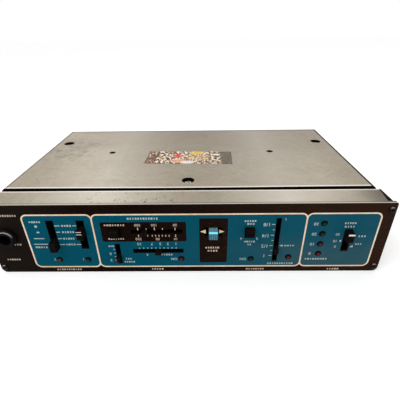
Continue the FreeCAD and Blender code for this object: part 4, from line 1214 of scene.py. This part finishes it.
class UNIT_OT_lamps(UnitOperator):
    """Fit a domed lens and a black ring to every lamp"""
    bl_idname = "unit.lamps"
    bl_label = "Lamps"

    def execute(self, context):
        black = moulded("rim_black", RIM_BLACK, 0.6, 0.02)
        for node, kind in (("leds_green", "green"), ("leds_red", "red"), ("led_amber", "amber")):
            boxes = solid_boxes(node)
            low, high = boxes[0]
            radius = (high.x - low.x) / 2
            ink = lens_material(node + "_lens", getattr(context.scene.unit_controls, kind))
            points = [((a.x + b.x) / 2, FACE_Y, (a.z + b.z) / 2) for a, b in boxes]
            shape = self.lens(radius, FACE_Y - low.y, high.y - FACE_Y)
            mesh = shade_smooth(copies_at(node + "_lens", shape, points, ink))
            fit_piece(node + "_lens", mesh, ink, CASING, node)
            rims = [round_loop(x / MM, z / MM, r / MM, 6) for x, _, z in points
                    for r in (radius + LAMP_RIM, radius)]
            mesh = flat_drawing(node + "_rims", rims, context.scene.unit_print.film, panel_matrix())
            fit_piece(node + "_rims", mesh, black, CASING)
        return {"FINISHED"}

    def lens(self, radius, proud, depth):
        """Dome in front, short barrel behind."""
        profile = [(0, -depth), (radius, -depth)]
        profile += [(radius * math.cos(a), proud * math.sin(a))
                    for a in (math.radians(d) for d in range(0, 90, 9))]
        mesh = lathe(profile + [(0, proud)], LENS_SIDES)
        mesh.transform(panel_matrix().to_3x3().to_4x4())
        return mesh


UP = (0, 0, 1)
HEAD_SIDES = 32
CROSS_TURN = math.radians(38.0)    # how the crosses of the screws stand
CROSS_ARM, CROSS_HALF = 0.52, 0.13   # a cross's reach and half width against its head's radius
CROSS_FLOOR = 0.35                 # height of its floor against its head's
# Screws: node, the way that their heads face, height of the model's plain head, height of the
# crown above it, fullness (2 is a dome, more is a pan), paint slot; then the finish, the colour of
# its painted highlight, and the way that the highlit side faces
SCREWS = (
    ("panel_screws", (0, -1, 0), 1.1 * MM, 0.0, 2.0, "black_steel",
     "panel_screw_finish", (0.32, 0.22, 0.16), (-0.15, -0.45, 0.88)),
    ("case_screws", UP, 2.4 * MM, 0.9 * MM, 2.6, "bright_steel",
     "case_screw_finish", (0.90, 0.87, 0.80), UP),
    ("side_screws", (1, 0, 0), 0.9 * MM, 0.0, 2.4, "black_steel",
     "side_screw_finish", (0.12, 0.11, 0.10), UP),
    ("lid_screws", (0, 0, -1), 1.05 * MM, 0.0, 2.4, "black_steel",
     "side_screw_finish", (0.12, 0.11, 0.10), UP),
)


class UNIT_OT_fastenings(UnitOperator):
    """Fit domed, cross-slotted heads to the screws of the panel, the covers and the sides"""
    bl_idname = "unit.fastenings"
    bl_label = "Screws"

    def execute(self, context):
        for node, toward, height, crown, fullness, slot, name, worn, facing in SCREWS:
            finish = (bpy.data.materials.get(name)
                      or black_with_glint(name, context.scene.unit_metal.black_steel, worn, facing))
            mesh = self.screws(node, toward, height, crown, fullness)
            fit_piece(node + "_heads", mesh, finish, CASING, node)
        return {"FINISHED"}

    def screws(self, node, toward, height, crown, fullness):
        """All the screws of a node; on the x axis their heads face away from the middle."""
        axis = max(range(3), key=lambda i: abs(toward[i]))
        rows = {}
        for low, high in solid_boxes(node):
            seat = (low + high) / 2
            side = math.copysign(1.0, seat[axis]) if axis == 0 else sum(toward)
            seat[axis] = (high[axis] if side > 0 else low[axis]) - side * height
            rows.setdefault(side, []).append(seat)
            radius = (high[(axis + 1) % 3] - low[(axis + 1) % 3]) / 2
            shank = high[axis] - low[axis] - height
        meshes = []
        for side, seats in rows.items():
            direction = Vector([side if i == axis else 0.0 for i in range(3)])
            shape = self.head(radius, height + crown, shank, fullness, direction)
            meshes.append(copies_at(node + "_heads", shape, seats, None))
        return shade_smooth(join_meshes(node + "_heads", meshes))

    def head(self, radius, proud, shank, fullness, toward):
        """Head with a cross recess, and the shank behind it."""
        rim = 0.25 * proud
        core = 0.5 * radius
        power = 2.0 / fullness
        profile = [(0, -shank), (core, -shank), (core, 0), (radius, 0), (radius, rim)]
        profile += [(radius * math.cos(a) ** power, rim + (proud - rim) * math.sin(a) ** power)
                    for a in (math.radians(d) for d in range(10, 90, 10))]
        head = new_object("head", lathe(profile + [(0, proud)], HEAD_SIDES))
        cutter = new_object("cross", self.cross(CROSS_ARM * radius, CROSS_HALF * radius,
                                                CROSS_FLOOR * proud, 1.5 * proud))
        cut = head.modifiers.new("Cross", "BOOLEAN")
        cut.object = cutter
        cut.solver = "EXACT"
        mesh = ready_mesh(head, "head")
        bpy.data.objects.remove(cutter)
        turned = Matrix.Rotation(CROSS_TURN, 4, "Z")
        mesh.transform(toward.to_track_quat("Z", "Y").to_matrix().to_4x4() @ turned)
        return mesh

    def cross(self, arm, half, low, high):
        """A cross-shaped bar between two heights."""
        outline = [(half, half), (arm, half), (arm, -half), (half, -half), (half, -arm), (-half, -arm),
                   (-half, -half), (-arm, -half), (-arm, half), (-half, half), (-half, arm), (half, arm)]
        work = bmesh.new()
        bottom, top = [[work.verts.new((x, y, z)) for x, y in outline] for z in (low, high)]
        work.faces.new(bottom)
        work.faces.new(top[::-1])
        bridge(work, bottom, top)
        return mesh_of(work, "cross", outwards=True)


LEVER_NODES = ("output_switch_a", "output_switch_b", "input_level_switch", "delay_range_switch",
               "chorus_depth_switch", "mode_switch", "sweep_speed_pot", "delay_time_pot",
               "feedback_pot", "delay_level_pot")
# Painted highlights on levers, white lines where an edge catches the light: node, their depths under the
# top, width against half a lever, height
LEVER_HIGHLIGHTS = (("output_switch_b", (0.35, 1.85), 1.6, 0.34), ("input_level_switch", (0.75,), 1.9, 1.0))
LEVER_HALF = 1.75 * MM
HIGHLIGHT_FILM = 0.04 * MM
CAP_WIDTH = 4.6 * MM               # the blue cap of the sprung switch
CAP_DROP = 2.3 * MM                # how much lower it is than its lever
SLIDER_DEPTH = 4.2 * MM            # the dark slider behind it
RIB_DEPTH = 0.16 * MM
CAP_ROUND = 0.75 * MM              # radius of the cap's front edges


class UNIT_OT_controls(UnitOperator):
    """Finish the levers, their cans, the blue cap and the jacks"""
    bl_idname = "unit.controls"
    bl_label = "Controls"

    def execute(self, context):
        colours = context.scene.unit_controls
        can = moulded("can_black", CAN_BLACK, 0.6, 0.02)
        dress(moulded("lever_black", colours.lever, 0.42, 0.03),
              *[name + "_lever" for name in LEVER_NODES])
        dress(can, *LEVER_NODES)
        # the front jack gets a painted highlight arc on its rim
        dress(moulded("rubbed_jack", JACK_BLACK, 0.45, 0.04, worn=jack_rim_glint), "front_jack")
        dress(moulded("jack_black", JACK_BLACK, 0.45, 0.04), "rear_jacks", "power_socket")
        # painted highlights on two levers
        self.index_lines(moulded("index_white", colours.index, 0.35, 0.3, 0.1))
        self.blue_cap(colours, can)
        return {"FINISHED"}

    def index_lines(self, white):
        """Painted highlights: white lines across two of the levers, where their top edge and a groove
        catch the light, inlaid in their faces.
        """
        for node, drops, across, height in LEVER_HIGHLIGHTS:
            lever, name = node + "_lever", node + "_index"
            low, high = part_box(lever)
            rows = [run_tree("line", "Row of marks", Count=1, Material=white, Step=(0, 0, 0),
                             First=((low.x + high.x) / 2, low.y, high.z - drop * MM),
                             Size=(across * LEVER_HALF, HIGHLIGHT_FILM, height * MM)) for drop in drops]
            fit_piece(name, join_meshes(name, rows), white, lever)

    def blue_cap(self, colours, dark):
        """Clear blue cap with ribs that run over its front edge, on a dark slider."""
        lever = "mode_switch_lever"
        low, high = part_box(lever)
        x, z = (low.x + high.x) / 2, (low.z + high.z) / 2
        tall = high.z - low.z - CAP_DROP
        front, back = low.y, high.y - SLIDER_DEPTH
        mesh = shade_smooth(self.ribbed_block(x, z, tall, front, back, colours.rib_count), 50)
        material = self.cap_material(colours, x - CAP_WIDTH / 2, front, z + tall / 2)
        fit_piece("mode_switch_cap", mesh, material, lever, lever)
        slider = bevelled_block("mode_switch_slider", (low.x, back, low.z), high, 0.25 * MM)
        fit_piece("mode_switch_slider", slider, dark, lever)

    def ribbed_block(self, x, z, tall, front, back, ribs):
        """A block whose section is drawn in and out across its width to make the ribs."""
        steps = ribs * 8
        corner_y, top, foot = front + CAP_ROUND, z + tall / 2, z - tall / 2
        work = bmesh.new()
        rings = []
        for i in range(steps + 1):
            t = i / steps
            groove = RIB_DEPTH * (0.5 - 0.5 * math.cos(2 * math.pi * ribs * t))
            pull = groove if 0 < i < steps else RIB_DEPTH
            r = CAP_ROUND - pull
            ring = [(corner_y + r * math.cos(a), middle_z + r * math.sin(a))
                    for middle_z, start in ((top - CAP_ROUND, 90), (foot + CAP_ROUND, 180))
                    for a in (math.radians(start + 90 * k / 4) for k in range(5))]
            ring += [(back, foot + pull), (back, top - pull)]
            across = x - CAP_WIDTH / 2 + CAP_WIDTH * t
            rings.append([work.verts.new((across, *point)) for point in ring])
        for first, second in zip(rings, rings[1:]):
            bridge(work, first, second)
        work.faces.new(rings[0])
        work.faces.new(rings[-1][::-1])
        return mesh_of(work, "cap", outwards=True)

    def cap_material(self, colours, left, front, top):
        """Clear blue plastic with painted light: its top and sides painted lighter than its front face,
        painted highlights on its rounded front edge and its ribs, a lighter band at the foot of its
        face, and a painted glow along the edge.
        """
        finish = Finish("clear_blue")
        x, y, z = finish.place.axes()
        ahead = y < front + 0.80 * MM
        edge = remap(z, top - 0.95 * MM, top - 0.65 * MM) * ahead
        foot = remap(z, top - 4.4 * MM, top - 4.9 * MM) * ahead
        phase = (x - left) * (2 * math.pi * colours.rib_count / CAP_WIDTH)
        rib_glint = remap(phase.maths("COSINE"), -0.2, 0.8)
        speckle = speckled(finish.place, 0.6 * MM)
        face = layered(colours.cap, (rib_glint * 0.75, (0.130, 0.400, 0.500)),
                       (foot * 0.8, (0.180, 0.520, 0.600)))
        over = blend(remap(speckle, 0.35, 0.65), (0.080, 0.190, 0.250), (0.240, 0.380, 0.420))
        return finish.feed(
            Base_Color=layered(over, (ahead, face), (edge, colours.cap_glint)), Roughness=0.25,
            Specular_IOR_Level=0.2, Subsurface_Weight=0.1, Subsurface_Scale=0.001,
            Emission_Color=blend(edge, (0, 0, 0), colours.cap_glint), Emission_Strength=0.30)


class UNIT_OT_inside(UnitOperator):
    """Finish the boards and the parts on them"""
    bl_idname = "unit.inside"
    bl_label = "Inner parts"

    def execute(self, context):
        dress(circuit_board(), "main_board", "control_board")
        dress(moulded("chip_black", (0.012, 0.012, 0.013), 0.45, 0.3), "delay_chips", "op_amp_chips",
              "ribbon_headers", "voltage_regulators")
        dress(moulded("nylon_white", (0.55, 0.53, 0.48), 0.5, 0.3), "board_supports", "led_spacers")
        dress(moulded("capacitor_sleeve", (0.015, 0.030, 0.110), 0.3, 0.4), "filter_capacitors",
              "small_capacitors")
        dress(moulded("film_coat", (0.300, 0.075, 0.030), 0.35, 0.4), "film_capacitors")
        dress(ribbon_grey(), "ribbon_cable")
        return {"FINISHED"}


FOIL_WIDTH, FOIL_DEPTH, FOIL_THICK = 59.6 * MM, 22.6 * MM, 0.12 * MM
FOIL_MIDDLE = (-0.8 * MM, PLATE_LOW.y + 46.7 * MM, PLATE_HIGH.z)
FOIL_TURN = math.radians(-2.0)
FOIL_SIDES = ((-1, -1, 1, -1, 40), (1, -1, 1, 1, 14), (1, 1, -1, 1, 40), (-1, 1, -1, -1, 14))
FOIL_SEED = 7
FOIL_FRAY, FOIL_TEAR = 0.25 * MM, 0.5 * MM      # its edge is frayed all round, and torn in places


class UNIT_OT_foil(UnitOperator):
    """Stick the worn, bare foil plate to the underside"""
    bl_idname = "unit.foil"
    bl_label = "Foil plate"

    def execute(self, context):
        rng = random.Random(FOIL_SEED)
        loop = []
        for x0, y0, x1, y1, steps in FOIL_SIDES:
            for i in range(steps):
                t = i / steps
                torn = FOIL_FRAY * rng.random() + (FOIL_TEAR * rng.random()
                                                   if rng.random() > 0.8 else 0)
                x, y = x0 + (x1 - x0) * t, y0 + (y1 - y0) * t
                loop.append((x * (FOIL_WIDTH / 2 - torn) / MM, y * (FOIL_DEPTH / 2 - torn) / MM))
        turn = Matrix.Translation(FOIL_MIDDLE) @ Matrix.Rotation(FOIL_TURN, 4, "Z")
        mesh = flat_drawing("foil_plate", [loop], FOIL_THICK, turn)
        fit_piece("foil_plate", mesh, foil_material(FOIL_MIDDLE), CASING)
        return {"FINISHED"}


OPERATORS = (UNIT_OT_effects, UNIT_OT_stage, UNIT_OT_metalwork, UNIT_OT_panel, UNIT_OT_lamps,
             UNIT_OT_fastenings, UNIT_OT_controls, UNIT_OT_inside, UNIT_OT_foil)


class UNIT_PT_sidebar(bpy.types.Panel):
    """Steps and settings of the effects unit"""
    bl_idname = "UNIT_PT_sidebar"
    bl_label = "Effects unit"
    bl_space_type = "VIEW_3D"
    bl_region_type = "UI"
    bl_category = "Effects unit"

    def draw(self, context):
        for group in GROUPS:
            box = self.layout.box()
            settings = getattr(context.scene, group)
            for key in settings.__annotations__:
                box.prop(settings, key)
        for step in OPERATORS:
            self.layout.operator(step.bl_idname)


def register():
    for group in GROUPS.values():
        bpy.utils.register_class(group)
    for name, group in GROUPS.items():
        setattr(bpy.types.Scene, name, PointerProperty(type=group))
    for step in (*OPERATORS, UNIT_PT_sidebar):
        bpy.utils.register_class(step)


def unregister():
    for step in reversed((*OPERATORS, UNIT_PT_sidebar)):
        bpy.utils.unregister_class(step)
    for name in GROUPS:
        delattr(bpy.types.Scene, name)
    for group in GROUPS.values():
        bpy.utils.unregister_class(group)


def main():
    register()
    bpy.ops.unit.effects()
    bpy.ops.unit.stage()
    bpy.ops.unit.metalwork()
    bpy.ops.unit.panel()
    bpy.ops.unit.lamps()
    bpy.ops.unit.fastenings()
    bpy.ops.unit.controls()
    bpy.ops.unit.inside()
    bpy.ops.unit.foil()


if __name__ == "__main__":
    main()
